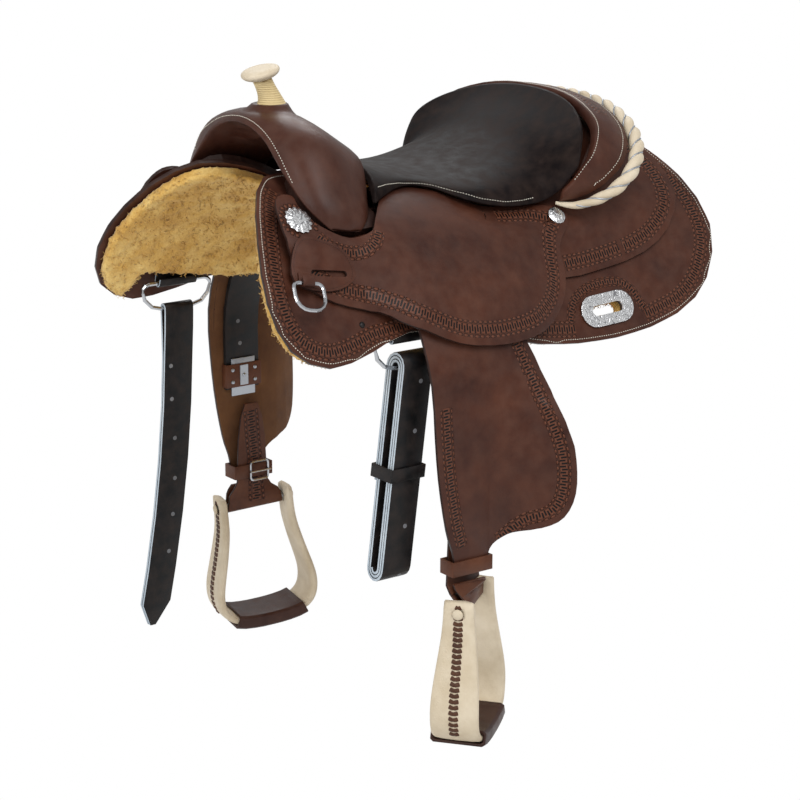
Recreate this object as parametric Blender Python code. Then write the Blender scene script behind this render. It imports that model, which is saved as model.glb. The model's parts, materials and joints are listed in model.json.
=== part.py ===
"""A reining saddle, built from separate pieces.

Metres, +Z up. The saddle faces -Y and its near (left) side is +X. The origin is on the centre plane, 200 mm under
the foot of the horn, which is where the rack or the horse's back carries the tree.

The leathers lie on one shared drape: a point is named by y (back along the saddle), s (the way down the flank from
the ridge line) and h (how far it stands off the top face of the skirt).
"""

import math

import bmesh
import bpy
from mathutils import Matrix, Vector

MM = 0.001

# The drape: a back 455 mm in radius that starts 23 degrees down from level, with a dip under the seat.
BACK_RADIUS = 455 * MM
RIDGE_ANGLE = math.radians(23)
DIP_HEIGHT = 140 * MM
DIP_Y = 275 * MM
DIP_RATE = 0.25
WAIST_DIP = 38 * MM
GRID = (60 * MM, 30 * MM)
FENDER_GRID = (30 * MM, 30 * MM)

# Leather and layer thicknesses.
FIT = 0.5 * MM
LEATHER_LIFT = 1.3 * MM
SKIRT_THICK = 5 * MM
FLEECE_THICK = 16 * MM
BAR_TOP = 15 * MM
JOCKEY_THICK = 4.5 * MM
BACK_JOCKEY_THICK = 4 * MM
PLY = 3.1 * MM
FENDER_THICK = 4.5 * MM
KEEPER_LIFT = 1.6 * MM
KEEPER_THICK = 4 * MM

# The fender hangs on the tree bar and swings in the plane of the flank.
SWING_Y = {"left": 122.1 * MM, "right": 125.8 * MM}
SWING_S = 138 * MM
SWING_ANGLE = math.radians(54.5)
SWING_RAKE = 0.043
LEATHER_Y = 112 * MM
LEATHER_WIDTH = 56 * MM
BEND_START_S = 360 * MM
BEND_LENGTH = 60 * MM
FLARE = 2.4
STRAP_LOW = 5 * MM
FENDER_LOW = 14.2 * MM
NECK_Y = 122 * MM
NECK_WIDTH = 57 * MM
BOLT_Y = 128 * MM
BOLT_Z = -430 * MM

# How far each stirrup is turned from facing straight out, and how much it leans.
STIRRUP_TURN = {"left": math.radians(38), "right": math.radians(12)}
STIRRUP_LEAN = {"left": 0.0, "right": math.radians(5)}

# The rigging dees, front to back, and how far down the flank their bars lie.
RIGGING_Y = {"left": 64 * MM, "right": -20 * MM}
RIGGING_S = {"left": 326 * MM, "right": 330 * MM}
DEE_DROP = 37 * MM
ROD = 3 * MM
SIDES = (("left", 1), ("right", -1))

COLOURS = {
    "brown_leather": ((0.075, 0.024, 0.017), 0.45, 0.0),
    "seat_leather": ((0.020, 0.012, 0.012), 0.42, 0.0),
    "black_leather": ((0.012, 0.012, 0.013), 0.5, 0.0),
    "suede": ((0.10, 0.055, 0.03), 0.9, 0.0),
    "fleece": ((0.60, 0.36, 0.11), 0.95, 0.0),
    "rawhide": ((0.72, 0.62, 0.44), 0.55, 0.0),
    "wood": ((0.45, 0.30, 0.16), 0.7, 0.0),
    "silver": ((0.70, 0.70, 0.68), 0.25, 1.0),
    "steel": ((0.45, 0.45, 0.46), 0.3, 1.0),
}


def mm(points):
    """Points given in millimetres, as vectors in metres."""
    return [Vector(p) * MM for p in points]


def smooth(t):
    """0 before t=0, 1 after t=1, an easy step between."""
    t = min(1.0, max(0.0, t))
    return t * t * (3 - 2 * t)


def material(name):
    found = bpy.data.materials.get(name)
    if found:
        return found
    colour, roughness, metallic = COLOURS[name]
    made = bpy.data.materials.new(name)
    made.use_nodes = True
    shader = made.node_tree.nodes["Principled BSDF"]
    shader.inputs["Base Color"].default_value = (*colour, 1)
    shader.inputs["Roughness"].default_value = roughness
    shader.inputs["Metallic"].default_value = metallic
    made.diffuse_color = (*colour, 1)
    return made


def add_piece(name, bm, finish, carrier=None, sharp=35):
    """One closed solid as an object; its origin goes to the axis of the empty that carries it."""
    bmesh.ops.remove_doubles(bm, verts=bm.verts, dist=1e-6)
    bmesh.ops.recalc_face_normals(bm, faces=bm.faces)
    if bm.calc_volume(signed=True) < 0:
        bmesh.ops.reverse_faces(bm, faces=bm.faces)
    mesh = bpy.data.meshes.new(name)
    bm.to_mesh(mesh)
    bm.free()
    mesh.shade_smooth()
    mesh.set_sharp_from_angle(angle=math.radians(sharp))
    piece = bpy.data.objects.new(name, mesh)
    mesh.materials.append(material(finish))
    bpy.context.scene.collection.objects.link(piece)
    if carrier:
        hang_on(piece, carrier)
    return piece


def hang_on(piece, carrier):
    """Makes an empty carry a piece that is drawn in place."""
    piece.parent = carrier
    piece.matrix_parent_inverse = carrier.matrix_world.inverted()


def axis_empty(name, place, direction, carrier=None):
    """An empty on a joint's axis, with its Z along the axis."""
    empty = bpy.data.objects.new(name, None)
    empty.empty_display_size = 0.03
    turn = Vector(direction).to_track_quat("Z", "Y").to_matrix().to_4x4()
    bpy.context.scene.collection.objects.link(empty)
    empty.matrix_world = Matrix.Translation(place) @ turn
    bpy.context.view_layer.update()
    if carrier:
        hang_on(empty, carrier)
        bpy.context.view_layer.update()
    return empty


def through(points, samples, closed=False):
    """A smooth curve through the points, with some samples to each span."""
    count = len(points)
    spans = count if closed else count - 1
    line = []
    for i in range(spans):
        if closed:
            a, b, c, d = (points[(i + k) % count] for k in (-1, 0, 1, 2))
        else:
            a, b = points[max(i - 1, 0)], points[i]
            c, d = points[i + 1], points[min(i + 2, count - 1)]
        for k in range(samples):
            t = k / samples
            line.append(b + 0.5 * t * ((c - a) + t * ((2 * a - 5 * b + 4 * c - d) + t * (3 * b - a - 3 * c + d))))
    if not closed:
        line.append(points[-1].copy())
    return line


def ring_loft(rings, closed=False, caps=True):
    """Skins rings of equal count; open lofts are capped, closed ones join end to end."""
    bm = bmesh.new()
    rows = [[bm.verts.new(p) for p in ring] for ring in rings]
    pairs = list(zip(rows, rows[1:]))
    if closed:
        pairs.append((rows[-1], rows[0]))
    for a, b in pairs:
        for i in range(len(a)):
            j = (i + 1) % len(a)
            bm.faces.new((a[i], a[j], b[j], b[i]))
    if caps and not closed:
        bm.faces.new(rows[0])
        bm.faces.new(rows[-1])
    return bm


def hollow_loft(outer, inner):
    """A sleeve: an outer skin and a bore, joined at both ends."""
    bm = bmesh.new()
    skins = []
    for rings in (outer, inner):
        rows = [[bm.verts.new(p) for p in ring] for ring in rings]
        for a, b in zip(rows, rows[1:]):
            for i in range(len(a)):
                j = (i + 1) % len(a)
                bm.faces.new((a[i], a[j], b[j], b[i]))
        skins.append(rows)
    for end in (0, -1):
        a, b = skins[0][end], skins[1][end]
        for i in range(len(a)):
            j = (i + 1) % len(a)
            bm.faces.new((a[i], a[j], b[j], b[i]))
    return bm


def crown_z(y):
    return DIP_HEIGHT + DIP_RATE * (y - DIP_Y) ** 2


def waist(y):
    """1 along the rider's seat, 0 at the front of the fork and under the cantle."""
    return smooth((y + 45 * MM) / (120 * MM)) * smooth((430 * MM - y) / (120 * MM))


def saddle_dip(y, s):
    """The flank lies flatter near the ridge where the rider sits."""
    return WAIST_DIP * waist(y) * max(0.0, (200 * MM - s) / (140 * MM)) ** 1.4


def drape(y, s, h, hand=1, level=None):
    """A place on the drape; level holds the height of the ridge where a piece is straight from front to back."""
    angle = RIDGE_ANGLE + s / BACK_RADIUS
    reach = BACK_RADIUS + h
    x = reach * math.sin(angle) - BACK_RADIUS * math.sin(RIDGE_ANGLE)
    ridge = crown_z(y) if level is None else level
    z = ridge - BACK_RADIUS * math.cos(RIDGE_ANGLE) + reach * math.cos(angle)
    return Vector((hand * x, y, z - saddle_dip(y, s)))


def bar_top(y):
    """The bar is thinner under the rider."""
    return BAR_TOP - 7 * MM * smooth((y - 180 * MM) / (60 * MM)) * smooth((370 * MM - y) / (50 * MM))


def bar_step(y, s):
    """The leathers step down where the tree bar under them ends."""
    return (bar_top(y) + FIT) * (1 - smooth((s - 210 * MM) / (50 * MM))) + LEATHER_LIFT


def fender_room(y):
    """Where the seat jockey lifts over the fender."""
    return smooth((y + 5 * MM) / (50 * MM)) * smooth((318 * MM - y) / (50 * MM))


def strap_room(y):
    """Where the leathers lift over the top of the stirrup leather."""
    return smooth((y - 10 * MM) / (50 * MM)) * smooth((220 * MM - y) / (50 * MM))


def jockey_low(y, s):
    """The underside of the seat jockey: on the bars, over the fender and over the back jockey."""
    over_back = (BACK_JOCKEY_THICK + 1.4 * MM) * smooth((y - 235 * MM) / (50 * MM))
    over_strap = STRAP_ROOM * strap_room(y) * smooth((s - 70 * MM) / (20 * MM))
    resting = bar_step(y, s) + max(over_back, over_strap)
    lifted = max(resting, FENDER_LOW + FENDER_THICK + 6.5 * MM)
    room = fender_room(y) * smooth((s - 170 * MM) / (40 * MM))
    return resting * (1 - room) + lifted * room


def jockey_top(y, s):
    return jockey_low(y, s) + JOCKEY_THICK


def fleece_top(y, s, side):
    """The fleece makes room for the rigging leather between it and the skirt."""
    across = 1 - smooth((abs(y - RIGGING_Y[side]) - 75 * MM) / (25 * MM))
    down = smooth((s - 190 * MM) / (30 * MM))
    return -SKIRT_THICK - FIT - 11.5 * MM * across * down


def outline(points, samples=3):
    """A smooth closed outline on the drape from a few (y, s) points in millimetres."""
    return through(mm([(y, s, 0) for y, s in points]), samples, closed=True)


def shrunk(line, by):
    """The outline drawn in by a distance."""
    count = len(line)
    area = sum(line[i].x * line[(i + 1) % count].y - line[(i + 1) % count].x * line[i].y for i in range(count))
    turn = 1 if area > 0 else -1
    drawn = []
    for i in range(count):
        along = (line[(i + 1) % count] - line[i - 1]).normalized()
        drawn.append(line[i] + Vector((-along.y, along.x, 0)) * turn * by)
    return drawn


def flat_grid(line, grid):
    """The outline as a flat sheet cut along the grid and its diagonals, so that it can bend."""
    bm = bmesh.new()
    bm.faces.new([bm.verts.new(p) for p in line])
    along, down = Vector((1 / grid[0], 0, 0)), Vector((0, 1 / grid[1], 0))
    for normal in (along, down, down - along):
        marks = [p.dot(normal) for p in line]
        for k in range(math.ceil(min(marks)), math.floor(max(marks)) + 1):
            everything = bm.verts[:] + bm.edges[:] + bm.faces[:]
            foot = normal * (k / normal.length_squared)
            bmesh.ops.bisect_plane(bm, geom=everything, dist=0.8 * MM, plane_co=foot, plane_no=normal)
    return bm


def on_grid(place, y, s, grid):
    """A place on the flat triangle of the grid that holds (y, s), so that all sheets share their facets."""
    u, v = y / grid[0], s / grid[1]
    i, j = math.floor(u), math.floor(v)
    u, v = u - i, v - j
    corner = lambda a, b: place((i + a) * grid[0], (j + b) * grid[1])
    first, last = corner(0, 0), corner(1, 1)
    if u > v:
        return first * (1 - u) + corner(1, 0) * (u - v) + last * v
    return first * (1 - v) + corner(0, 1) * (v - u) + last * u


def sheet(line, low, high, grid=GRID):
    """A closed sheet between two surfaces; low and high give a place in space for y and s."""
    flat = flat_grid(line, grid)
    flat.verts.index_update()
    cells = [[v.index for v in f.verts] for f in flat.faces]
    rim = [[v.index for v in e.verts] for e in flat.edges if len(e.link_faces) == 1]
    places = [v.co.copy() for v in flat.verts]
    flat.free()
    bm = bmesh.new()
    under, over = ([bm.verts.new(on_grid(side, p.x, p.y, grid)) for p in places] for side in (low, high))
    for cell in cells:
        bm.faces.new([over[i] for i in cell])
        bm.faces.new([under[i] for i in reversed(cell)])
    for a, b in rim:
        bm.faces.new((under[a], under[b], over[b], over[a]))
    return bm


def draped_sheet(line, low, high, hand, level=None):
    """A sheet of leather on the drape between two heights, each a number or a function of y and s."""

    def surface(height):
        return lambda y, s: drape(y, s, height(y, s) if callable(height) else height, hand, level)

    return sheet(line, surface(low), surface(high))


def surface_frame(y, s, h, hand):
    """A frame lying flat on the drape: along the saddle, down the flank, outward."""
    centre = drape(y, s, h, hand)
    angle = RIDGE_ANGLE + s / BACK_RADIUS
    slope = 2 * DIP_RATE * (y - DIP_Y)
    along = Vector((0, 1, slope)).normalized()
    outward = Vector((hand * math.sin(angle), 0, math.cos(angle)))
    outward = (outward - along * outward.dot(along)).normalized()
    down = outward.cross(along) * hand
    if down.z > 0:
        down = -down
    frame = Matrix.Identity(4)
    for column, axis in enumerate((along, down, outward)):
        frame.col[column][:3] = axis
    frame.col[3][:3] = centre
    return frame


def lathe(profile, sides, frame, scallops=0, depth=0.0):
    """A turned piece from (radius, height) points, closed on its axis; scallops wave its widest edge."""
    widest = max(r for r, _ in profile)
    bm = bmesh.new()
    rows = []
    for r, z in profile:
        if r == 0:
            rows.append([bm.verts.new(frame @ Vector((0, 0, z)))])
            continue
        row = []
        for i in range(sides):
            a = 2 * math.pi * i / sides
            wave = 1 + depth * math.cos(scallops * a) * (r / widest) ** 3
            row.append(bm.verts.new(frame @ Vector((r * wave * math.cos(a), r * wave * math.sin(a), z))))
        rows.append(row)
    for a, b in zip(rows, rows[1:]):
        for i in range(sides):
            j = (i + 1) % sides
            corners = [a[i % len(a)], a[j % len(a)], b[j % len(b)], b[i % len(b)]]
            bm.faces.new(list(dict.fromkeys(corners)))
    return bm


def stadium(length, width, steps=6):
    """A slot outline, long along the first axis."""
    r = width / 2
    run = length / 2 - r
    line = []
    for end in (1, -1):
        for k in range(steps + 1):
            a = math.pi * (k / steps - 0.5) + (0 if end > 0 else math.pi)
            line.append(Vector((end * run + r * math.cos(a), r * math.sin(a), 0)))
    return line


def slab(line, low, high, frame):
    """A flat plate with the outline, between two heights of a frame."""
    return ring_loft([[frame @ (p + Vector((0, 0, z))) for p in line] for z in (low, high)])


def cut(piece, name, bm, operation="DIFFERENCE"):
    """Takes a guide's shape out of a piece, or joins it on."""
    guide = add_piece(name, bm, "wood")
    guide.hide_render = True
    guide.display_type = "WIRE"
    step = piece.modifiers.new(name, "BOOLEAN")
    step.operation = operation
    step.solver = "EXACT"
    step.object = guide


def path_normals(path):
    """Unit normals of a path that lies in a plane square to the second axis."""
    normals = []
    for i in range(len(path)):
        along = path[min(i + 1, len(path) - 1)] - path[max(i - 1, 0)]
        normals.append(Vector((along.z, 0, -along.x)).normalized())
    return normals


def ribbon(path, thickness, centre, width, slope=lambda t: 0.0):
    """A strap along a path in the XZ plane; its centre, width and slope in y are functions of t, from 0 to 1."""
    rings = []
    normals = path_normals(path)
    for i, (p, n) in enumerate(zip(path, normals)):
        t = i / (len(path) - 1)
        mid, half = centre(p, t), width(t) / 2
        corners = ((mid - half, 1), (mid + half, 1), (mid + half, -1), (mid - half, -1))
        rings.append([
            Vector((p.x, y, p.z + slope(t) * (y - mid))) + n * side * thickness / 2 for y, side in corners
        ])
    return ring_loft(rings)


def rod_curve(name, points, radius, finish, carrier=None, closed=True):
    """A round bar bent along a line, as a curve with a bevel."""
    data = bpy.data.curves.new(name, "CURVE")
    data.dimensions = "3D"
    data.bevel_depth = radius
    data.bevel_resolution = 1
    data.use_fill_caps = not closed
    spline = data.splines.new("POLY")
    spline.points.add(len(points) - 1)
    spline.use_cyclic_u = closed
    for spot, p in zip(spline.points, points):
        spot.co = (*p, 1)
    data.materials.append(material(finish))
    piece = bpy.data.objects.new(name, data)
    bpy.context.scene.collection.objects.link(piece)
    if carrier:
        hang_on(piece, carrier)
    return piece


def rounded_frame(half_width, top, bottom, corner_top, corner_bottom, steps=3):
    """A dee or buckle outline in (across, up): straight sides and rounded corners."""
    line = []
    corners = (
        (half_width - corner_bottom, bottom + corner_bottom, corner_bottom, -90),
        (half_width - corner_top, top - corner_top, corner_top, 0),
        (-half_width + corner_top, top - corner_top, corner_top, 90),
        (-half_width + corner_bottom, bottom + corner_bottom, corner_bottom, 180),
    )
    for cx, cz, r, start in corners:
        for k in range(steps + 1):
            a = math.radians(start + 90 * k / steps)
            line.append((cx + r * math.cos(a), cz + r * math.sin(a)))
    return line


# Outlines on the drape, (y, s) in millimetres, clockwise from the front of the near side.
SKIRT = outline(
    [(-38, 78), (-88, 118), (-128, 207), (-146, 290), (-130, 350), (-77, 370), (-11, 349), (58, 322), (150, 326)]
    + [(258, 356), (390, 369), (500, 360), (566, 326), (602, 256), (590, 170), (560, 100), (540, 40), (524, 12)]
    + [(480, 12), (440, 44), (380, 60), (250, 62), (50, 62)],
    2,
)
SEAT_JOCKEY = outline(
    [(-58, 144), (-79, 146), (-93, 168), (-98, 220), (-86, 262), (-49, 286), (10, 299), (45, 321), (110, 347)]
    + [(184, 353), (250, 343), (298, 312), (320, 275), (326, 236), (352, 206), (345, 184), (300, 160), (253, 154)]
    + [(212, 132), (176, 104), (140, 96), (108, 106), (78, 136), (50, 176), (34, 196), (4, 204), (-20, 199)]
    + [(-46, 182), (-57, 162)]
)
BACK_JOCKEY = outline(
    [(286, 250), (310, 275), (400, 274), (470, 266), (522, 244), (551, 200), (546, 140), (522, 70), (504, 12)]
    + [(456, 12), (420, 56), (370, 78), (310, 130)],
    2,
)
TREE_BAR = outline(
    [(-38, 100), (-44, 140), (-20, 180), (20, 188), (60, 178), (110, 186), (160, 186), (300, 180), (420, 190)]
    + [(480, 160), (488, 110), (450, 76), (300, 72), (100, 74), (0, 80)],
    2,
)
KEEPER = outline(
    [(-82, 210), (-101, 236), (-105, 262), (-82, 273), (-40, 271), (-10, 252), (-20, 223), (-52, 211)]
)
# The stirrup leather hangs over a rail that bridges a notch in the tree bar.
NOTCH_Y = (66 * MM, 158 * MM)
NOTCH_S = 94 * MM
RAIL_S, RAIL_H = 134 * MM, 9.8 * MM
RAIL_HALF = (3.0 * MM, 1.5 * MM)
BIGHT_SLACK = 5.5 * MM
STRAP_ROOM = 4.6 * MM
REAR_PLATE_Y, REAR_PLATE_S = 382 * MM, 328 * MM
FRONT_CONCHO = (-69 * MM, 183 * MM)
REAR_CONCHO = (338 * MM, 196 * MM)


def both_sides(points):
    """A line from the centre plane out, carried across to the far side; the far end comes first."""
    return [Vector((-p.x, p.y, p.z)) for p in reversed(points[1:])] + points


def scaled_ring(ring, amount):
    middle = sum(ring, Vector()) / len(ring)
    return [middle + (p - middle) * amount for p in ring]


def fork_rings():
    """Rings of the fork from the middle out: lip, swell, rear slope and gullet wall, then the lobe on the bar."""
    base = BAR_TOP / MM + 2.5
    middle = mm(
        [(0, -47, 183), (0, -52, 190), (0, -36, 198), (0, 12, 198), (0, 55, 171), (0, 84, 147), (0, 82, 138)]
        + [(0, 12, 163)]
    )
    shoulder = mm(
        [(58, -46, 167), (62, -50, 175), (68, -34, 187), (72, 8, 189), (70, 50, 164), (68, 80, 143), (64, 78, 135)]
        + [(56, 10, 150)]
    )
    swell = mm(
        [(91, -46, 137), (98, -50, 145), (114, -36, 163), (126, 4, 165), (118, 44, 147), (104, 72, 130)]
        + [(99, 70, 122), (90, 10, 127)]
    )

    def lobe(s, front, rear, edge, crest):
        """A ring whose underside lies on the bar."""
        span = rear - front
        spots = (
            (front, 0, base),
            (front, -1, edge),
            (front + 0.14 * span, 0, crest * 0.84),
            (front + 0.5 * span, 4, crest),
            (front + 0.86 * span, 0, crest * 0.82),
            (rear, -1, edge),
            (rear, 0, base),
            (front + 0.5 * span, 0, base),
        )
        return [drape(y * MM, (s + ds) * MM, h * MM) for y, ds, h in spots]

    keys = [
        middle,
        shoulder,
        swell,
        lobe(143, -45, 56, 23, 49),
        lobe(166, -39, 44, 22, 41),
        lobe(182, -30, 32, 22, 33),
        lobe(192, -22, 22, 20, 25),
    ]
    columns = [through(both_sides([ring[i] for ring in keys]), 2) for i in range(len(middle))]
    coarse = [[column[k] for column in columns] for k in range(len(columns[0]))]
    return [through(ring, 2, closed=True) for ring in coarse]


def build_fork():
    rings = fork_rings()
    bore = [scaled_ring(ring, 0.90) for ring in rings]
    add_piece("fork_cover", hollow_loft(rings, bore), "brown_leather")
    core = [scaled_ring(ring, 0.82) for ring in rings[4:-4]]
    add_piece("fork", ring_loft(core), "wood")


HORN_SIDES = 18


def horn_ring(y, z, lean, radius):
    tilt = Matrix.Rotation(math.radians(lean), 4, "X")
    spots = []
    for i in range(HORN_SIDES):
        a = 2 * math.pi * i / HORN_SIDES
        spots.append(Vector((0, y, z)) + tilt @ Vector((radius * math.cos(a), radius * math.sin(a), 0)))
    return spots


def build_horn():
    """The neck leans forward from the fork and the cap sits on it, tipped less than the neck leans."""
    neck = ((1, 201.6, 0, 20.5), (0, 206.5, 6, 17.5), (-4, 217, 18, 14), (-9, 227, 20, 12.4), (-13, 235.4, 15, 13))
    add_piece("horn_neck", ring_loft([horn_ring(y * MM, z * MM, a, r * MM) for y, z, a, r in neck]), "rawhide")
    cap = ((-13.4, 236.4, 14, 15), (-14.5, 239, 14, 22), (-15.2, 242.5, 14, 26), (-16, 246, 14, 26.6))
    cap += ((-16.6, 249, 14, 24.5), (-17, 250.6, 14, 17))
    add_piece("horn_cap", ring_loft([horn_ring(y * MM, z * MM, a, r * MM) for y, z, a, r in cap]), "rawhide")


# The padded seat: its middle line and its edge from the fork back to the top of the cantle.
SEAT_MIDDLE = mm(
    [(0, 89, 133), (0, 106, 124), (0, 130, 115), (0, 170, 107), (0, 204, 104), (0, 252, 108), (0, 300, 122)]
    + [(0, 342, 140), (0, 376, 160), (0, 404, 178), (0, 427, 195.5)]
)
SEAT_EDGE_ON_FLANK = [(64, 148), (87, 130), (138, 100), (178, 116), (206, 148), (256, 170), (302, 173), (330, 170)]
SEAT_EDGE_ON_CANTLE = mm([(179, 340, 81), (189, 350, 97), (194, 362, 113)])
SEAT_ROUNDS = 8
CANTLE_ROUNDING = 0.85


def seat_point(middle, edge, u, rounding):
    """Across the seat, from the near edge at u = 1 over the middle to the far edge at u = -1."""
    a = u * math.pi / 2
    out, in_ = abs(math.sin(a)), max(math.cos(a), 0.0) ** rounding
    return Vector((
        math.copysign(edge.x * out, u),
        middle.y + (edge.y - middle.y) * out**3,
        edge.z + (middle.z - edge.z) * in_,
    ))


def seat_rows(rows_per_span=2):
    edge = [drape(y * MM, s * MM, 31 * MM) for y, s in SEAT_EDGE_ON_FLANK] + SEAT_EDGE_ON_CANTLE
    middle = through(SEAT_MIDDLE, rows_per_span)
    sides = through(edge, rows_per_span)
    count = 2 * SEAT_ROUNDS
    return [
        [seat_point(m, e, i / SEAT_ROUNDS - 1, CANTLE_ROUNDING) for i in range(count + 1)]
        for m, e in zip(middle, sides)
    ]


def surface_normals(rows):
    normals = []
    for i, row in enumerate(rows):
        line = []
        for j in range(len(row)):
            back = rows[min(i + 1, len(rows) - 1)][j] - rows[max(i - 1, 0)][j]
            across = row[min(j + 1, len(row) - 1)] - row[max(j - 1, 0)]
            line.append(across.cross(back).normalized())
        normals.append(line)
    return normals


def shell_of_rows(rows, top, bottom):
    """A closed shell from a grid of points; top and bottom are depths below it as functions of u and v."""
    normals = surface_normals(rows)
    bm = bmesh.new()
    skins = []
    for depth in (top, bottom):
        skin = []
        for i, row in enumerate(rows):
            v = i / (len(rows) - 1)
            line = []
            for j, p in enumerate(row):
                u = 2 * j / (len(row) - 1) - 1
                line.append(bm.verts.new(p - normals[i][j] * depth(u, v)))
            skin.append(line)
        skins.append(skin)
    for skin, turn in zip(skins, (1, -1)):
        for a, b in zip(skin, skin[1:]):
            for j in range(len(a) - 1):
                bm.faces.new((a[j], a[j + 1], b[j + 1], b[j])[::turn])
    over, under = skins
    rim = [over[0], over[-1], [r[0] for r in over], [r[-1] for r in over]]
    foot = [under[0], under[-1], [r[0] for r in under], [r[-1] for r in under]]
    for a, b in zip(rim, foot):
        for j in range(len(a) - 1):
            bm.faces.new((a[j], a[j + 1], b[j + 1], b[j]))
    return bm


def build_seat():
    rows = seat_rows()

    def pad(u, v):
        return (5 + 4 * (1 - u**8) * (1 - v**8)) * MM

    add_piece("padded_seat", shell_of_rows(rows, lambda u, v: 0.0, pad), "seat_leather", sharp=50)
    inner = [row[4:-4:2] for row in rows[4:-4:2]]
    top = lambda u, v: 11.2 * MM
    bottom = lambda u, v: 13.7 * MM
    add_piece("ground_seat", shell_of_rows(inner, top, bottom), "brown_leather", sharp=50)


# Arcs of the cantle from the middle out: the rim of the seat, the outer edge of the roll and the rope edge.
RIM_ARC = mm([(0, 430, 195), (50, 430, 194), (100, 425, 187), (145, 415, 174), (171, 406, 160), (190, 390, 144)]
             + [(199, 376, 126), (199, 363, 110), (194, 354, 94), (184, 345, 78)])
ROLL_ARC = mm([(0, 485, 182), (55, 483, 180), (105, 480, 172), (148, 474, 154), (181, 458, 134), (204, 432, 110)]
              + [(206, 408, 92), (199, 386, 76), (186, 364, 66), (172, 346, 62)])
ROPE_ARC = mm([(0, 496, 177), (55, 494, 175), (108, 491, 166), (154, 484, 147), (189, 467, 125), (213, 438, 102)]
              + [(214, 410, 80), (204, 385, 66), (187, 362, 58), (166, 345, 60)])
ROPE_RADII = (9, 9.2, 9.6, 10, 10, 9.6, 8.6, 7, 5, 2.4)


def build_cantle():
    """The roll slopes back from the seat's rim, the core stands behind the pad and the binding edges the roll."""
    rim, outer = through(both_sides(RIM_ARC), 2), through(both_sides(ROLL_ARC), 2)
    rings = []
    for i, (a, b) in enumerate(zip(rim, outer)):
        reach = abs(2 * i / (len(rim) - 1) - 1)
        taper = 1 - 0.6 * smooth(reach * 1.6 - 0.6)
        back = (b - a).normalized()
        up = Vector((a.x * 0.9, 0, a.z - 60 * MM)).normalized()
        up = (up - back * up.dot(back)).normalized()
        start, end = a + back * 2 * MM, b - back * 1.5 * MM
        mid = (start + end) / 2
        rings.append([
            start - up * 2 * MM,
            start + up * 1.5 * MM * taper,
            mid + up * 4.5 * MM * taper,
            end + up * 1 * MM * taper,
            end - up * 2.5 * MM * taper,
            mid - up * 9 * MM * taper,
            start - up * 13 * MM * taper,
        ])
    add_piece("cantle_roll", ring_loft(rings), "brown_leather", sharp=50)

    line = through(both_sides(ROPE_ARC), 2)
    radii = ROPE_RADII[:0:-1] + ROPE_RADII
    radii = through([Vector((r * MM, 0, 0)) for r in radii], 2)
    tube = []
    for i, (p, r) in enumerate(zip(line, radii)):
        along = (line[min(i + 1, len(line) - 1)] - line[max(i - 1, 0)]).normalized()
        first = along.cross(Vector((0, 1, 0))).normalized()
        second = along.cross(first)
        turns = [2 * math.pi * k / 6 for k in range(6)]
        tube.append([p + (first * math.cos(a) + second * math.sin(a)) * r.x for a in turns])
    add_piece("rope_binding", ring_loft(tube), "rawhide", sharp=60)

    top = through(both_sides(RIM_ARC[:5]), 2)
    rings = []
    for i, a in enumerate(top):
        t = abs(2 * i / (len(top) - 1) - 1)
        foot_s = (20 + 130 * t) * MM
        hand = 1 if a.x >= 0 else -1
        front_foot = drape(398 * MM, foot_s, 24 * MM, hand)
        back_foot = drape(440 * MM, foot_s, 24 * MM, hand)
        if abs(a.x) < 1e-6:
            front_foot.x = back_foot.x = 0
        front_top = Vector((a.x * 0.9, a.y + 8 * MM, a.z - 24 * MM))
        back_top = Vector((a.x * 0.9, a.y + 36 * MM, a.z - 27 * MM))
        rings.append([front_foot, front_top, back_top, back_foot])
    add_piece("cantle_back", ring_loft(rings), "brown_leather", sharp=50)


def rigging_notch(line, side):
    """The fleece is cut short where the fold of the rigging leather hangs below it."""
    middle, bar = RIGGING_Y[side], RIGGING_S[side]
    notched = []
    for p in line:
        reach = abs(p.x - middle)
        limit = bar - 16 * MM if reach < 63 * MM else 10
        notched.append(Vector((p.x, min(p.y, limit), 0)))
    return notched


def notched(line, front, back, depth):
    """The outline with a square notch let into its lower edge."""
    inside = [front < p.x < back and p.y > depth for p in line]
    first = inside.index(True)
    kept = [p for p, gone in zip(line, inside) if not gone]
    edge = line[first].y
    corners = [Vector((y, s, 0)) for y, s in ((front, edge), (front, depth), (back, depth), (back, edge))]
    return kept[:first] + corners + kept[first:]


def rail_rod(hand):
    """A flat rod with rounded edges along the drape, from inside one wall of the notch to inside the other."""
    middle = fender_line(RAIL_S, RAIL_H)
    angle = RIDGE_ANGLE + RAIL_S / BACK_RADIUS
    down = Vector((math.cos(angle), 0, -math.sin(angle)))
    out = Vector((math.sin(angle), 0, math.cos(angle)))
    wide, high = RAIL_HALF
    spots = ((1, 0.5), (0.6, 1), (-0.6, 1), (-1, 0.5), (-1, -0.5), (-0.6, -1), (0.6, -1), (1, -0.5))
    rings = []
    for y in (58 * MM, 166 * MM):
        centre = middle + Vector((0, y, 2 * DIP_RATE * (LEATHER_Y - DIP_Y) * (y - LEATHER_Y)))
        ring = [centre + down * wide * a + out * high * b for a, b in spots]
        rings.append([Vector((hand * p.x, p.y, p.z)) for p in ring])
    return ring_loft(rings)


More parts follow.
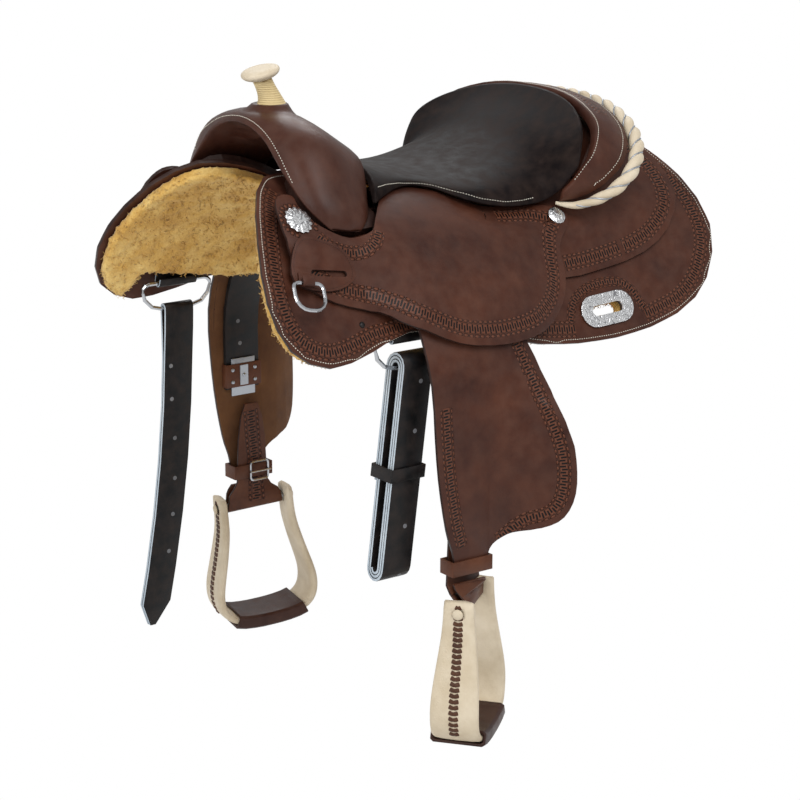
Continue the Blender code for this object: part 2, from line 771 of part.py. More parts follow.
def build_flank(side, hand):
    """Everything that lies on one flank and doesn't move."""
    plate_frame = surface_frame(REAR_PLATE_Y, REAR_PLATE_S, 0, hand)

    skirt = add_piece(f"{side}_skirt", draped_sheet(SKIRT, -SKIRT_THICK, 0.0, hand), "brown_leather")
    slot = stadium(56 * MM, 17 * MM)
    cut(skirt, f"{side}_skirt_slot_cutter", slab(slot, -12 * MM, 12 * MM, plate_frame))

    pad = outline([(p.x / MM, p.y / MM) for p in rigging_notch(shrunk(SKIRT, 6 * MM), side)], 1)
    under = -SKIRT_THICK - FIT - FLEECE_THICK
    fleece = add_piece(
        f"{side}_fleece", draped_sheet(pad, under, lambda y, s: fleece_top(y, s, side), hand), "fleece"
    )
    cut(fleece, f"{side}_fleece_slot_cutter", slab(slot, -40 * MM, 4 * MM, plate_frame))

    bar_line = notched(TREE_BAR, *NOTCH_Y, NOTCH_S)
    bar = add_piece(f"{side}_tree_bar", draped_sheet(bar_line, 1 * MM, lambda y, s: bar_top(y), hand), "wood")
    cut(bar, f"{side}_leather_rail_guide", rail_rod(hand), "UNION")

    add_piece(f"{side}_seat_jockey", draped_sheet(SEAT_JOCKEY, jockey_low, jockey_top, hand), "brown_leather")
    add_piece(
        f"{side}_back_jockey",
        draped_sheet(
            BACK_JOCKEY, bar_step, lambda y, s: bar_step(y, s) + BACK_JOCKEY_THICK, hand
        ),
        "brown_leather",
    )
    keeper = add_piece(
        f"{side}_latigo_keeper",
        draped_sheet(
            KEEPER,
            lambda y, s: jockey_top(y, s) + KEEPER_LIFT,
            lambda y, s: jockey_top(y, s) + KEEPER_LIFT + KEEPER_THICK,
            hand,
        ),
        "brown_leather",
    )
    keeper_frame = surface_frame(-51 * MM, 251 * MM, jockey_top(-0.051, 0.251), hand)
    cut(keeper, f"{side}_keeper_slot_cutter", slab(stadium(54 * MM, 8 * MM), -3 * MM, 12 * MM, keeper_frame))

    plate = add_piece(
        f"{side}_rear_slot_plate", slab(stadium(90 * MM, 44 * MM, 8), 1 * MM, 3.2 * MM, plate_frame), "silver"
    )
    cut(plate, f"{side}_plate_slot_cutter", slab(stadium(52 * MM, 14 * MM), -3 * MM, 8 * MM, plate_frame))

    y, s = FRONT_CONCHO
    frame = surface_frame(y, s, jockey_top(y, s) + 1.6 * MM, hand)
    dome = [(0, 0), (18.5, 0), (18.5, 1.2), (15, 3.2), (8, 4.6), (0, 5)]
    profile = [(r * MM, z * MM) for r, z in dome]
    add_piece(f"{side}_front_concho", lathe(profile, 28, frame, scallops=14, depth=0.05), "silver")
    y, s = REAR_CONCHO
    frame = surface_frame(y, s, jockey_top(y, s) + 3.5 * MM, hand)
    dome = [(0, 0), (12.5, 0), (12.5, 1), (9, 2.8), (0, 4)]
    add_piece(f"{side}_rear_concho", lathe([(r * MM, z * MM) for r, z in dome], 20, frame), "silver")


def rigging_point(side, hand, s, h):
    """A place on the rigging leather, which is straight from front to back."""
    middle = RIGGING_Y[side]
    return drape(middle, s, h, hand, level=crown_z(middle))


def build_rigging(side, hand):
    """The rigging leather folds round the bar of the dee; the dee swings in the fold."""
    middle, bar_s = RIGGING_Y[side], RIGGING_S[side]
    bar_h = -14.5 * MM
    centre = rigging_point(side, 1, bar_s, bar_h)
    wrap = ROD + FIT + 1.2 * MM
    path = [rigging_point(side, 1, s * MM, -10.2 * MM) for s in (244, 262, 280, 298)]
    path.append(rigging_point(side, 1, bar_s - 12 * MM, -10.0 * MM))
    lean = math.atan2(*(path[-1] - path[-2]).xz)
    for k in range(9):
        a = lean - math.pi / 2 + math.pi * k / 8
        path.append(centre + Vector((math.sin(a), 0, math.cos(a))) * wrap)
    path.append(rigging_point(side, 1, bar_s - 9 * MM, -18.6 * MM))
    path = [Vector((hand * p.x, p.y, p.z)) for p in path]
    add_piece(
        f"{side}_rigging_leather",
        ribbon(path, 2.4 * MM, lambda p, t: middle, lambda t: (76 - 16 * smooth(t * 2)) * MM),
        "black_leather",
    )
    place = Vector((hand * centre.x, middle, centre.z))
    swing = axis_empty(f"{side}_dee_axis", place, (0, 1, 0))
    shape = rounded_frame(55 * MM, 0, -DEE_DROP, 11 * MM, 30 * MM)
    points = [place + Vector((0, y, z)) for y, z in shape]
    rod_curve(f"{side}_rigging_dee", points, ROD, "steel", swing)
    return swing, place + Vector((0, 0, -DEE_DROP))


LATIGO_WIDTH = 45 * MM
LATIGO_THICK = 3.6 * MM
LATIGO_PITCH = 4.5 * MM
LATIGO_TURNS = 3
LATIGO_DROP = 262 * MM


def latigo_path(rod):
    """A flat spiral hung on the dee's rod: half turns above and below, each side a pitch further out a turn."""
    start = ROD + FIT + LATIGO_THICK / 2
    path = []
    steps = 8
    for half in range(2 * LATIGO_TURNS):
        top = half % 2 == 1
        middle = rod if top else rod + Vector((0, 0, -LATIGO_DROP))
        for k in range(steps + 1):
            turn = half + k / steps
            r = start + LATIGO_PITCH * turn / 2
            a = math.pi * turn
            path.append(middle + Vector((-r * math.cos(a), 0, -r * math.sin(a))))
    tail = path[-1] + Vector((0, 0, -150 * MM))
    path.append(tail)
    return path


def self_gap(path, thickness, apart):
    """The least gap between layers of a wound strap, measured on points along it."""
    fine = []
    for a, b in zip(path, path[1:]):
        count = max(1, round((b - a).length / (4 * MM)))
        fine += [(a.lerp(b, k / count)) for k in range(count)]
    lengths = [0.0]
    for a, b in zip(fine, fine[1:]):
        lengths.append(lengths[-1] + (b - a).length)
    least = 1.0
    for i, p in enumerate(fine):
        for j in range(i + 1, len(fine)):
            if lengths[j] - lengths[i] > apart:
                least = min(least, (fine[j] - p).length)
    return least - thickness


def latigo_lean(z, top):
    """The hank hangs askew: its foot is further forward than its top."""
    return RIGGING_Y["left"] - 0.13 * (top - z)


def build_latigo(dee, rod):
    path = latigo_path(rod)
    gap = self_gap(path, LATIGO_THICK, 40 * MM)
    length = sum((b - a).length for a, b in zip(path, path[1:]))
    print(f"latigo: {length:.3f} m of strap, least gap between layers {gap * 1000:.2f} mm")
    swing = axis_empty("latigo_axis", rod, (0, 1, 0), dee)
    lean = lambda p, t: latigo_lean(p.z, rod.z)
    add_piece("latigo", ribbon(path, LATIGO_THICK, lean, lambda t: LATIGO_WIDTH), "black_leather", swing)
    wide = max(p.x for p in path) - rod.x + LATIGO_THICK / 2 + 0.8 * MM
    thin = rod.x - min(p.x for p in path) + LATIGO_THICK / 2 + 0.8 * MM
    half = LATIGO_WIDTH / 2 + 1.8 * MM
    rings = ([], [])
    for z in (-128 * MM, -145 * MM):
        level = rod.z + z
        mid = latigo_lean(level, rod.z)
        for ring, grow in zip(rings, (2.6 * MM, 0.0)):
            corners = ((wide, half), (-thin, half), (-thin, -half), (wide, -half))
            ring.append([
                Vector((rod.x + x + math.copysign(grow, x), mid + y + math.copysign(grow, y), level))
                for x, y in corners
            ])
    add_piece("latigo_loop", hollow_loft(*rings), "black_leather", swing)


def build_off_billet(dee, rod):
    """A doubled billet over the far dee, both ends pointed."""
    swing = axis_empty("off_billet_axis", rod, (0, 1, 0), dee)
    thick = 3.8 * MM
    r = ROD + FIT + thick / 2
    drops = (-462, -430, -380, -300, -220, -140, -70, -30, -8)
    near, far = [], []
    for z in drops:
        spread = r - (r - 2.5 * MM) * smooth((-z - 8) / 60)
        near.append(rod + Vector((-spread, 0, z * MM)))
        far.append(rod + Vector((spread, 0, z * MM)))
    bend = [rod + Vector((-r * math.cos(math.pi * k / 8), 0, r * math.sin(math.pi * k / 8))) for k in range(9)]
    path = near + bend + far[::-1]
    count = len(path) - 1

    def width(t):
        tip = min(t, 1 - t) * count
        return (9 + 36 * min(1.0, tip / 1.0)) * MM

    def middle(p, t):
        drop = rod.z - p.z
        return RIGGING_Y["right"] - 0.26 * drop * drop

    add_piece("off_billet", ribbon(path, thick, middle, width), "black_leather", swing)


def build_breast_dee(side, hand):
    """The breast-collar dee hangs in a short chape under the keeper."""
    y, s = -92 * MM, 268 * MM
    top = surface_frame(y, s, jockey_top(y, s) + KEEPER_LIFT + KEEPER_THICK + 8.6 * MM, hand)
    place = top.translation
    swing = axis_empty(f"{side}_breast_dee_axis", place, top.col[0].xyz)
    shape = rounded_frame(22 * MM, 0, -36 * MM, 8 * MM, 17 * MM, 4)
    points = [top @ Vector((a, -b, 0)) for a, b in shape]
    rod_curve(f"{side}_breast_dee", points, 2.4 * MM, "steel", swing)
    wrap = 2.4 * MM + FIT + 1 * MM
    path = [Vector((0, y * MM, -wrap)) for y in (-16, -8, -3)]
    for k in range(9):
        a = -math.pi / 2 + math.pi * k / 8
        path.append(Vector((0, wrap * math.cos(a), wrap * math.sin(a))))
    path += [Vector((0, -3 * MM, wrap)), Vector((0, -8 * MM, wrap * 0.8))]
    rings = []
    for i, p in enumerate(path):
        along = path[min(i + 1, len(path) - 1)] - path[max(i - 1, 0)]
        out = Vector((0, along.z, -along.y)).normalized() * 1 * MM
        half = Vector((8.5 * MM, 0, 0))
        rings.append([top @ (p + half * a + out * b) for a, b in ((-1, 1), (1, 1), (1, -1), (-1, -1))])
    add_piece(f"{side}_breast_dee_chape", ring_loft(rings), "brown_leather")


def fender_line(s, h):
    """The line that the fender and its leathers take in the XZ plane: down the flank, then bending to hang."""
    angle = RIDGE_ANGLE + min(s, BEND_START_S) / BACK_RADIUS
    x = BACK_RADIUS * (math.sin(angle) - math.sin(RIDGE_ANGLE))
    z = crown_z(LEATHER_Y) - BACK_RADIUS * (math.cos(RIDGE_ANGLE) - math.cos(angle))
    if s > BEND_START_S:
        left = math.pi / 2 - angle
        radius = BEND_LENGTH / left
        turned = min((s - BEND_START_S) / radius, left)
        x += radius * (math.sin(angle + turned) - math.sin(angle))
        z -= radius * (math.cos(angle) - math.cos(angle + turned))
        z -= max(0.0, s - BEND_START_S - BEND_LENGTH)
        angle += turned
    return Vector((x + h * math.sin(angle), 0, z + h * math.cos(angle) - saddle_dip(LEATHER_Y, s)))


HANG_X = fender_line(BEND_START_S + BEND_LENGTH, 0).x
HANG_Z = fender_line(BEND_START_S + BEND_LENGTH, 0).z


def down_to(z):
    """How far down the line a height lies on its hanging part."""
    return BEND_START_S + BEND_LENGTH + HANG_Z - z


def fender_flare(y, s):
    """The rear of the fender stands out from the horse, more so below the jockey."""
    return FLARE * smooth((s - 350 * MM) / (130 * MM)) * max(0.0, y - 160 * MM) ** 1.5


def fender_surface(h, hand):
    def place(y, s):
        p = fender_line(s, h)
        return Vector((hand * (p.x + fender_flare(y, s)), y, p.z))

    return place


FENDER_FRONT = [(74, 250), (62, 268), (60, 330), (63, 425), (70, 510), (82, 580), (92, 612), (96, 634), (97, 645)]
FENDER_REAR = [(147, 645), (148, 630), (156, 612), (180, 600), (214, 594), (236, 578), (246, 545), (246, 500)]
FENDER_REAR += [(240, 455), (230, 400), (218, 345), (202, 292), (186, 258), (150, 250)]
FENDER = outline(FENDER_FRONT + FENDER_REAR)


def build_leathers(side, hand, swing):
    """The doubled stirrup leather hangs over the crowned rail of the tree bar and lies inside the fender."""
    bight = 6.2 * MM
    mid = STRAP_LOW + PLY / 2
    outer = mid + PLY + FIT
    bottom = down_to(-252 * MM)
    runs = [k * GRID[1] for k in range(6, 15)]
    inner_ply = [fender_line(bottom, mid)] + [fender_line(s, mid) for s in reversed(runs)]
    inner_ply += [fender_line(s * MM, h * MM) for s, h in ((160, 5.5), (145, 4.2))]
    rail = fender_line(RAIL_S, RAIL_H)
    start = RIDGE_ANGLE + RAIL_S / BACK_RADIUS
    bend = []
    crest = rail - Vector((math.cos(start), 0, -math.sin(start))) * BIGHT_SLACK
    for k in range(9):
        a = math.pi + start + math.pi * k / 8
        bend.append(crest + Vector((math.sin(a), 0, math.cos(a))) * bight)
    outer_ply = [fender_line(s * MM, h * MM) for s, h in ((145, 14.9), (160, 13.0))]
    outer_ply += [fender_line(s, outer) for s in runs] + [fender_line(bottom, outer)]
    path = [Vector((hand * p.x, 0, p.z)) for p in inner_ply + bend + outer_ply]
    lie = 2 * DIP_RATE * (LEATHER_Y - DIP_Y)

    def slope(t):
        from_end = min(t, 1 - t) * (len(path) - 1)
        return lie * smooth((from_end - 3) / 3)

    add_piece(
        f"{side}_stirrup_leather",
        ribbon(path, PLY - 0.1 * MM, lambda p, t: LEATHER_Y, lambda t: LEATHER_WIDTH, slope),
        "black_leather",
        swing,
    )
    skins = [fender_surface(h, hand) for h in (FENDER_LOW, FENDER_LOW + FENDER_THICK)]
    add_piece(f"{side}_fender", sheet(FENDER, *skins, FENDER_GRID), "brown_leather", swing)


def turned_frame(side, hand):
    """Directions of a stirrup: along its bolt (rearward), outward and up, at the bolt."""
    turn, lean = STIRRUP_TURN[side], STIRRUP_LEAN[side]
    along = Vector((-hand * math.sin(turn), math.cos(turn), 0))
    outward = Vector((hand * math.cos(turn), math.sin(turn), 0))
    along = along * math.cos(lean) + Vector((0, 0, 1)) * math.sin(lean)
    up = along.cross(outward) * -hand
    if up.z < 0:
        up = -up
    frame = Matrix.Identity(4)
    for column, axis in enumerate((along, outward, up)):
        frame.col[column][:3] = axis
    frame.col[3][:3] = Vector((hand * (HANG_X + 7 * MM), BOLT_Y, BOLT_Z))
    return frame


BOLT_RADIUS = 4.5 * MM
TONGUE_THICK = 4 * MM


def build_tongue(side, hand, swing, frame):
    """The tongue turns from the fender's plane to the bolt's, wraps the bolt and comes up inside."""
    wrap = BOLT_RADIUS + FIT + TONGUE_THICK / 2
    centre = frame.translation
    down = [(-400, 52), (-406, 54), (-413, 58), (-420, 62)]
    up_inside = [(-420, 62), (-412, 60), (-404, 56), (-394, 52), (-370, 50), (-330, 46), (-296, 36), (-276, 22)]
    rings = []

    def section(z, offset, half):
        t = smooth((-398 - z) / 24)
        along = Vector((0, 1, 0)).lerp(frame.col[0].xyz, t).normalized()
        out = Vector((hand, 0, 0)).lerp(frame.col[1].xyz, t)
        out = (out - along * out.dot(along)).normalized()
        mid = Vector((centre.x, NECK_Y + (BOLT_Y - NECK_Y) * t, z * MM)) + out * offset
        return mid, along * half, out * TONGUE_THICK / 2

    def ring(mid, half, out):
        return [mid - half + out, mid + half + out, mid + half - out, mid - half - out]

    for z, width in down:
        rings.append(ring(*section(z, wrap, width / 2 * MM)))
    for k in range(1, 12):
        a = math.pi * k / 12
        radial = frame.col[1].xyz * math.cos(a) - frame.col[2].xyz * math.sin(a)
        rings.append(ring(centre + radial * wrap, frame.col[0].xyz * 33 * MM, radial * TONGUE_THICK / 2))
    for z, width in up_inside:
        mid, half, out = section(z, -wrap, width / 2 * MM)
        rings.append(ring(mid, half, -out))
    add_piece(f"{side}_fender_tongue", ring_loft(rings), "brown_leather", swing)


STIRRUP_SIDE = [(52, 16), (52, -20), (55, -46), (64, -85), (72, -116), (74, -138), (69, -158), (54, -171), (28, -176)]
STIRRUP_THICK = 12 * MM
TREAD_THICK = 4 * MM


def build_stirrup(side, hand, fender_swing):
    frame = turned_frame(side, hand)
    swing = axis_empty(f"{side}_stirrup_axis", frame.translation, frame.col[0].xyz, fender_swing)
    half_line = [Vector((u * MM, 0, w * MM)) for u, w in STIRRUP_SIDE]
    line = half_line + [Vector((0, 0, -177 * MM))] + [Vector((-p.x, 0, p.z)) for p in reversed(half_line)]
    line = through(line, 2)
    rings, sleeve, bore = [], [], []
    for i, p in enumerate(line):
        along = (line[min(i + 1, len(line) - 1)] - line[max(i - 1, 0)]).normalized()
        out = Vector((-along.z, 0, along.x))
        deep = (20.5 + 12.5 * smooth((16 - p.z / MM) / 150)) * MM
        half = STIRRUP_THICK / 2
        spots = ((1, 0.86), (0.55, 1), (-0.55, 1), (-1, 0.86), (-1, -0.86), (-0.55, -1), (0.55, -1), (1, -0.86))
        rings.append([frame @ (p + out * half * a + Vector((0, deep * b, 0))) for a, b in spots])
        if abs(p.x) > 60 * MM or p.z > -150 * MM:
            continue
        for skin, grow in ((bore, 0.4 * MM), (sleeve, 0.4 * MM + TREAD_THICK)):
            thick, wide = half + grow, deep + grow
            corners = ((1, 0.9), (0.7, 1), (-0.7, 1), (-1, 0.9), (-1, -0.9), (-0.7, -1), (0.7, -1), (1, -0.9))
            skin.append([frame @ (p + out * thick * a + Vector((0, wide * b, 0))) for a, b in corners])
    wood = add_piece(f"{side}_stirrup_frame", ring_loft(rings), "rawhide", swing, sharp=50)
    add_piece(f"{side}_stirrup_tread", hollow_loft(sleeve, bore), "brown_leather", swing)

    across = frame @ Matrix.Rotation(math.radians(90), 4, "Y")
    hole = [(0, -80), (4.9, -80), (4.9, 80), (0, 80)]
    cut(wood, f"{side}_bolt_hole_cutter", lathe([(r * MM, z * MM) for r, z in hole], 16, across))
    bolt = [(0, -62.5), (5, -62.2), (7.5, -60.4), (7.5, -59), (4.5, -59)]
    bolt += [(r, -z) for r, z in reversed(bolt)]
    add_piece(f"{side}_stirrup_bolt", lathe([(r * MM, z * MM) for r, z in bolt], 12, across), "steel", swing)
    return frame


def box_rings(xs, ys, levels):
    return [[Vector((x, y, z)) for x, y in ((xs[0], ys[0]), (xs[1], ys[0]), (xs[1], ys[1]), (xs[0], ys[1]))]
            for z in levels]


def build_fittings(side, hand, swing):
    """The hobble strap with its buckle, and the buckle that sets the length of the leathers."""
    wrap = BOLT_RADIUS + FIT + TONGUE_THICK / 2
    centre_x = HANG_X + 7 * MM
    low = centre_x - wrap - TONGUE_THICK / 2 - 0.8 * MM
    high = HANG_X + FENDER_LOW + FENDER_THICK + 0.6 * MM
    ys = (NECK_Y - NECK_WIDTH / 2 - 1.2 * MM, NECK_Y + NECK_WIDTH / 2 + 1.2 * MM)
    thick = 3 * MM
    levels = (-388 * MM, -368 * MM)
    outer = box_rings((hand * (low - thick), hand * (high + thick)), (ys[0] - thick, ys[1] + thick), levels)
    inner = box_rings((hand * low, hand * high), ys, levels)
    add_piece(f"{side}_hobble_strap", hollow_loft(outer, inner), "brown_leather", swing)

    face = low - thick - 2.4 * MM
    middle = Vector((hand * face, NECK_Y + 8 * MM, -378 * MM))
    shape = rounded_frame(15 * MM, 14 * MM, -14 * MM, 4 * MM, 4 * MM, 2)
    points = [middle + Vector((0, y, z)) for y, z in shape]
    rod_curve(f"{side}_hobble_buckle", points, 1.7 * MM, "steel", swing)
    hinge = middle + Vector((0, 15 * MM, 0))
    tongue_axis = axis_empty(f"{side}_buckle_tongue_axis", hinge, (0, 0, 1), swing)
    rise = Vector((-hand * 1, 0, 0))
    reach = [hinge + rise * 4.2 * MM + Vector((0, 3 * MM, 0)), hinge + rise * 4.2 * MM + Vector((0, -10 * MM, 0))]
    reach += [hinge + rise * 4.2 * MM + Vector((0, -22 * MM, 0)), hinge + rise * 4.0 * MM + Vector((0, -33 * MM, 0))]
    rod_curve(f"{side}_buckle_tongue", reach, 1.3 * MM, "steel", tongue_axis, closed=False)

    strap = (HANG_X + STRAP_LOW, HANG_X + STRAP_LOW + 2 * PLY + FIT)
    ys = (LEATHER_Y - LEATHER_WIDTH / 2, LEATHER_Y + LEATHER_WIDTH / 2)
    room = 0.35 * MM
    plate_x = strap[0] - 0.5 * MM
    levels = (-249 * MM, -214 * MM)
    shell = 1.4 * MM
    slider = axis_empty(f"{side}_sleeve_axis", Vector((hand * HANG_X, LEATHER_Y, -232 * MM)), (0, 0, 1), swing)
    outer = box_rings(
        (hand * (strap[0] - room - shell - 2.2 * MM), hand * (FENDER_LOW + HANG_X - 0.5 * MM)),
        (ys[0] - room - shell, ys[1] + room + shell),
        levels,
    )
    inner = box_rings(
        (hand * (strap[0] - room - 2.2 * MM), hand * (strap[1] + 0.45 * MM)), (ys[0] - room, ys[1] + room), levels
    )
    add_piece(f"{side}_length_buckle_sleeve", hollow_loft(outer, inner), "steel", slider)
    plate = box_rings((hand * (plate_x - 1.6 * MM), hand * plate_x), (LEATHER_Y - 20 * MM, LEATHER_Y + 20 * MM),
                      (-262 * MM, -206 * MM))
    add_piece(f"{side}_length_buckle_plate", ring_loft(plate), "steel", swing)


def build_stirrup_side(side, hand):
    place = fender_line(SWING_S, 8 * MM)
    place = Vector((hand * place.x, SWING_Y[side], place.z))
    direction = Vector((math.sin(SWING_ANGLE), hand * SWING_RAKE, hand * math.cos(SWING_ANGLE)))
    swing = axis_empty(f"{side}_fender_axis", place, direction)
    build_leathers(side, hand, swing)
    frame = build_stirrup(side, hand, swing)
    build_tongue(side, hand, swing, frame)
    build_fittings(side, hand, swing)


def main():
    for thing in list(bpy.data.objects):
        bpy.data.objects.remove(thing, do_unlink=True)
    build_fork()
    build_horn()
    build_seat()
    build_cantle()
    for side, hand in SIDES:
        build_flank(side, hand)
        dee, rod = build_rigging(side, hand)
        if side == "left":
            build_latigo(dee, rod)
        else:
            build_off_billet(dee, rod)
        build_breast_dee(side, hand)
        build_stirrup_side(side, hand)


main()
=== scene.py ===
# %% [markdown]
# A western reining saddle, dressed for a studio picture.
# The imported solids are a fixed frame: they say where every piece is and how it moves. This script adds what
# the solids leave out, which is the grain, the tooling, the stitches, the wool and the silver, and never
# moves a solid.

# %% Load the frame
import json
import math

import bmesh
import bpy
import numpy as np
from mathutils import Matrix, Vector, noise
from mathutils.bvhtree import BVHTree

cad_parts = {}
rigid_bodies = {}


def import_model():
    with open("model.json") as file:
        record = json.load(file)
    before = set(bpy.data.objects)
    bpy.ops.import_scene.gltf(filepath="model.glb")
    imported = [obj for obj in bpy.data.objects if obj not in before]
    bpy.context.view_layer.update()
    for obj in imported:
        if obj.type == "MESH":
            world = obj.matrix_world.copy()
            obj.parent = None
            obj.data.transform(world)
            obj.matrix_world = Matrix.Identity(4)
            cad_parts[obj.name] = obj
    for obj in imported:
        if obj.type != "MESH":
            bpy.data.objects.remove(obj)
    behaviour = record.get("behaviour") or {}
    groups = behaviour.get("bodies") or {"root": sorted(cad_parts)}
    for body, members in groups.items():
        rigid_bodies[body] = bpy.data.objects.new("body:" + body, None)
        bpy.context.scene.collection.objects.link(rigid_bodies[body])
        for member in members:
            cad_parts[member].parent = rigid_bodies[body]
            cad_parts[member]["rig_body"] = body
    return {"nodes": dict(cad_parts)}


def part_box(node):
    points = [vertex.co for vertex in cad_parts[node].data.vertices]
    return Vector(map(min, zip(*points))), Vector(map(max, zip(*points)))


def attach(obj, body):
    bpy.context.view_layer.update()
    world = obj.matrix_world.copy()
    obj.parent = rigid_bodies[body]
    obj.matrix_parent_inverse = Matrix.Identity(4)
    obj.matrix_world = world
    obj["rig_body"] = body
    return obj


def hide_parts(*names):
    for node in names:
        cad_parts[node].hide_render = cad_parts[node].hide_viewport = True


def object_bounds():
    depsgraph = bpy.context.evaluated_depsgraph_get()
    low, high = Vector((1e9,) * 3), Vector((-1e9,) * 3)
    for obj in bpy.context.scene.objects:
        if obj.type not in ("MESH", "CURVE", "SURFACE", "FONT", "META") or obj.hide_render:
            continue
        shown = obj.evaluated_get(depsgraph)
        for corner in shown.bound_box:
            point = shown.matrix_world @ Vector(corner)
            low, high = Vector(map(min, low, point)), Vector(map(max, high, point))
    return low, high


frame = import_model()
nodes = frame["nodes"]
bpy.context.view_layer.update()
SIDES = (("left", 1), ("right", -1))
MM = 0.001

# %% [markdown]
# The camera stands where the photograph was taken from: in front of the horse's near shoulder, a little
# above the seat, 3 m away with a long lens. A long lens keeps the far stirrup nearly as large as the near
# one.

# %% Camera
EYE = Vector((2.5216, -1.6250, 0.6181))
LOOK = Vector((-0.7807, 0.5672, -0.2622)).normalized()
RIGHT = Vector((0.5878, 0.8090, 0.0))
PICTURE = 800
LENS_PIXELS = 2310.0
SENSOR = 36.0
lens = bpy.data.cameras.new("studio_camera")
lens.sensor_width = SENSOR
lens.lens = LENS_PIXELS / PICTURE * SENSOR
lens.clip_end = 60
camera = bpy.data.objects.new("studio_camera", lens)
bpy.context.scene.collection.objects.link(camera)
up = RIGHT.cross(LOOK).normalized()
camera.matrix_world = Matrix((
    (RIGHT.x, up.x, -LOOK.x, EYE.x),
    (RIGHT.y, up.y, -LOOK.y, EYE.y),
    (RIGHT.z, up.z, -LOOK.z, EYE.z),
    (0, 0, 0, 1),
))
bpy.context.scene.camera = camera
print("lens", round(lens.lens, 1), "mm")


def ray_of_pixel(x, y):
    """The direction in which a pixel of the 800 x 800 picture looks."""
    return (LOOK * LENS_PIXELS + RIGHT * (x - PICTURE / 2) - up * (y - PICTURE / 2)).normalized()


# %% [markdown]
# The photograph has a pure white ground and soft light from all round, with a large source above the near
# side. The floor is white to the camera and to reflections only, so it doesn't pour extra light on the
# leather.

# %% Materials and their nodes
def shader(name, settings):
    """A new node material with some of its shader's own values; returns it with its tree and its shader."""
    m = bpy.data.materials.new(name)
    m.use_nodes = True
    principled = m.node_tree.nodes["Principled BSDF"]
    for label, value in settings.items():
        principled.inputs[label].default_value = value
    return m, m.node_tree, principled


def node(tree, kind, links=(), **values):
    """Adds a node; each link is an input's name or number with its source, a socket or a plain value."""
    n = tree.nodes.new(kind)
    for key, value in values.items():
        setattr(n, key, value)
    for socket, source in links:
        if isinstance(source, bpy.types.NodeSocket):
            tree.links.new(source, n.inputs[socket])
        else:
            n.inputs[socket].default_value = source
    return n


# %% Floor, sky and lamps
FLOOR_DROP = 0.35
FLOOR_HALF = 9.0
SKY_LIGHT = 0.55
floor_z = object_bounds()[0][2] - FLOOR_DROP
corners = [(x * FLOOR_HALF, y * FLOOR_HALF, floor_z) for x, y in ((-1, -1), (1, -1), (1, 1), (-1, 1))]
floor_mesh = bpy.data.meshes.new("studio_floor")
floor_mesh.from_pydata(corners, [], [(0, 1, 2, 3)])
floor = bpy.data.objects.new("studio_floor", floor_mesh)
bpy.context.scene.collection.objects.link(floor)
white, tree, principled = shader("studio_white", {"Base Color": (0.8, 0.8, 0.8, 1), "Roughness": 1,
                                                  "Specular IOR Level": 0})
path = node(tree, "ShaderNodeLightPath").outputs
rays = [(0, path["Is Camera Ray"]), (1, path["Is Glossy Ray"])]
seen = node(tree, "ShaderNodeMath", rays, operation="MAXIMUM").outputs[0]
glow = node(tree, "ShaderNodeEmission").outputs[0]
mix = node(tree, "ShaderNodeMixShader", [("Fac", seen), (1, principled.outputs[0]), (2, glow)])
tree.links.new(mix.outputs[0], tree.nodes["Material Output"].inputs["Surface"])
floor_mesh.materials.append(white)

sky = bpy.data.worlds.new("studio_sky")
sky.use_nodes = True
bpy.context.scene.world = sky
tree = sky.node_tree
backdrop = tree.nodes["Background"]
backdrop.inputs["Color"].default_value = (1, 1, 1, 1)
path = node(tree, "ShaderNodeLightPath").outputs
level = node(tree, "ShaderNodeMapRange", [("Value", path["Is Camera Ray"]), ("To Min", SKY_LIGHT)])
tree.links.new(level.outputs[0], backdrop.inputs["Strength"])


def lamp(name, place, aim, size, power):
    """A rectangular soft box at a place, turned towards what it lights."""
    data = bpy.data.lights.new(name, "AREA")
    data.shape = "RECTANGLE"
    data.size, data.size_y = size
    data.energy = power
    piece = bpy.data.objects.new(name, data)
    piece.location = place
    piece.rotation_euler = (Vector(aim) - Vector(place)).to_track_quat("-Z", "Y").to_euler()
    bpy.context.scene.collection.objects.link(piece)


lamp("key_softbox", (2.6, -0.4, 2.6), (0, 0.2, 0), (1.8, 1.8), 62)
lamp("front_softbox", (0.6, -3.2, 1.2), (0, 0, -0.1), (1.6, 1.2), 34)
lamp("back_softbox", (-2.2, 1.8, 2.2), (0, 0.2, 0), (1.6, 1.6), 30)
bpy.context.scene.view_settings.view_transform = "Standard"
print("three soft boxes and a white ground")

# %% [markdown]
# Vegetable-tanned leather is never one colour: oil soaks in unevenly, and the grain is a net of fine pores.
# One group makes both, a slow cloudy tone and a fine pebbled height, and every leather takes it with its
# own scale.

# %% Nodes that several finishes need
def speckle(tree, scale, detail, roughness=0.5, output="Fac"):
    """A noise texture that is fixed to the piece."""
    place = node(tree, "ShaderNodeTexCoord").outputs["Object"]
    links = [("Vector", place), ("Scale", scale), ("Detail", detail), ("Roughness", roughness)]
    return node(tree, "ShaderNodeTexNoise", links).outputs[output]


def ranged(tree, value, source=(0.0, 1.0), target=(0.0, 1.0)):
    """A value stretched from one range to another."""
    links = [("Value", value), ("From Min", source[0]), ("From Max", source[1])]
    links += [("To Min", target[0]), ("To Max", target[1])]
    return node(tree, "ShaderNodeMapRange", links).outputs[0]


def mixed(tree, factor, low, high, way="MIX"):
    """A colour between two others."""
    links = [("Factor", factor), (6, low), (7, high)]
    return node(tree, "ShaderNodeMix", links, data_type="RGBA", blend_type=way).outputs[2]


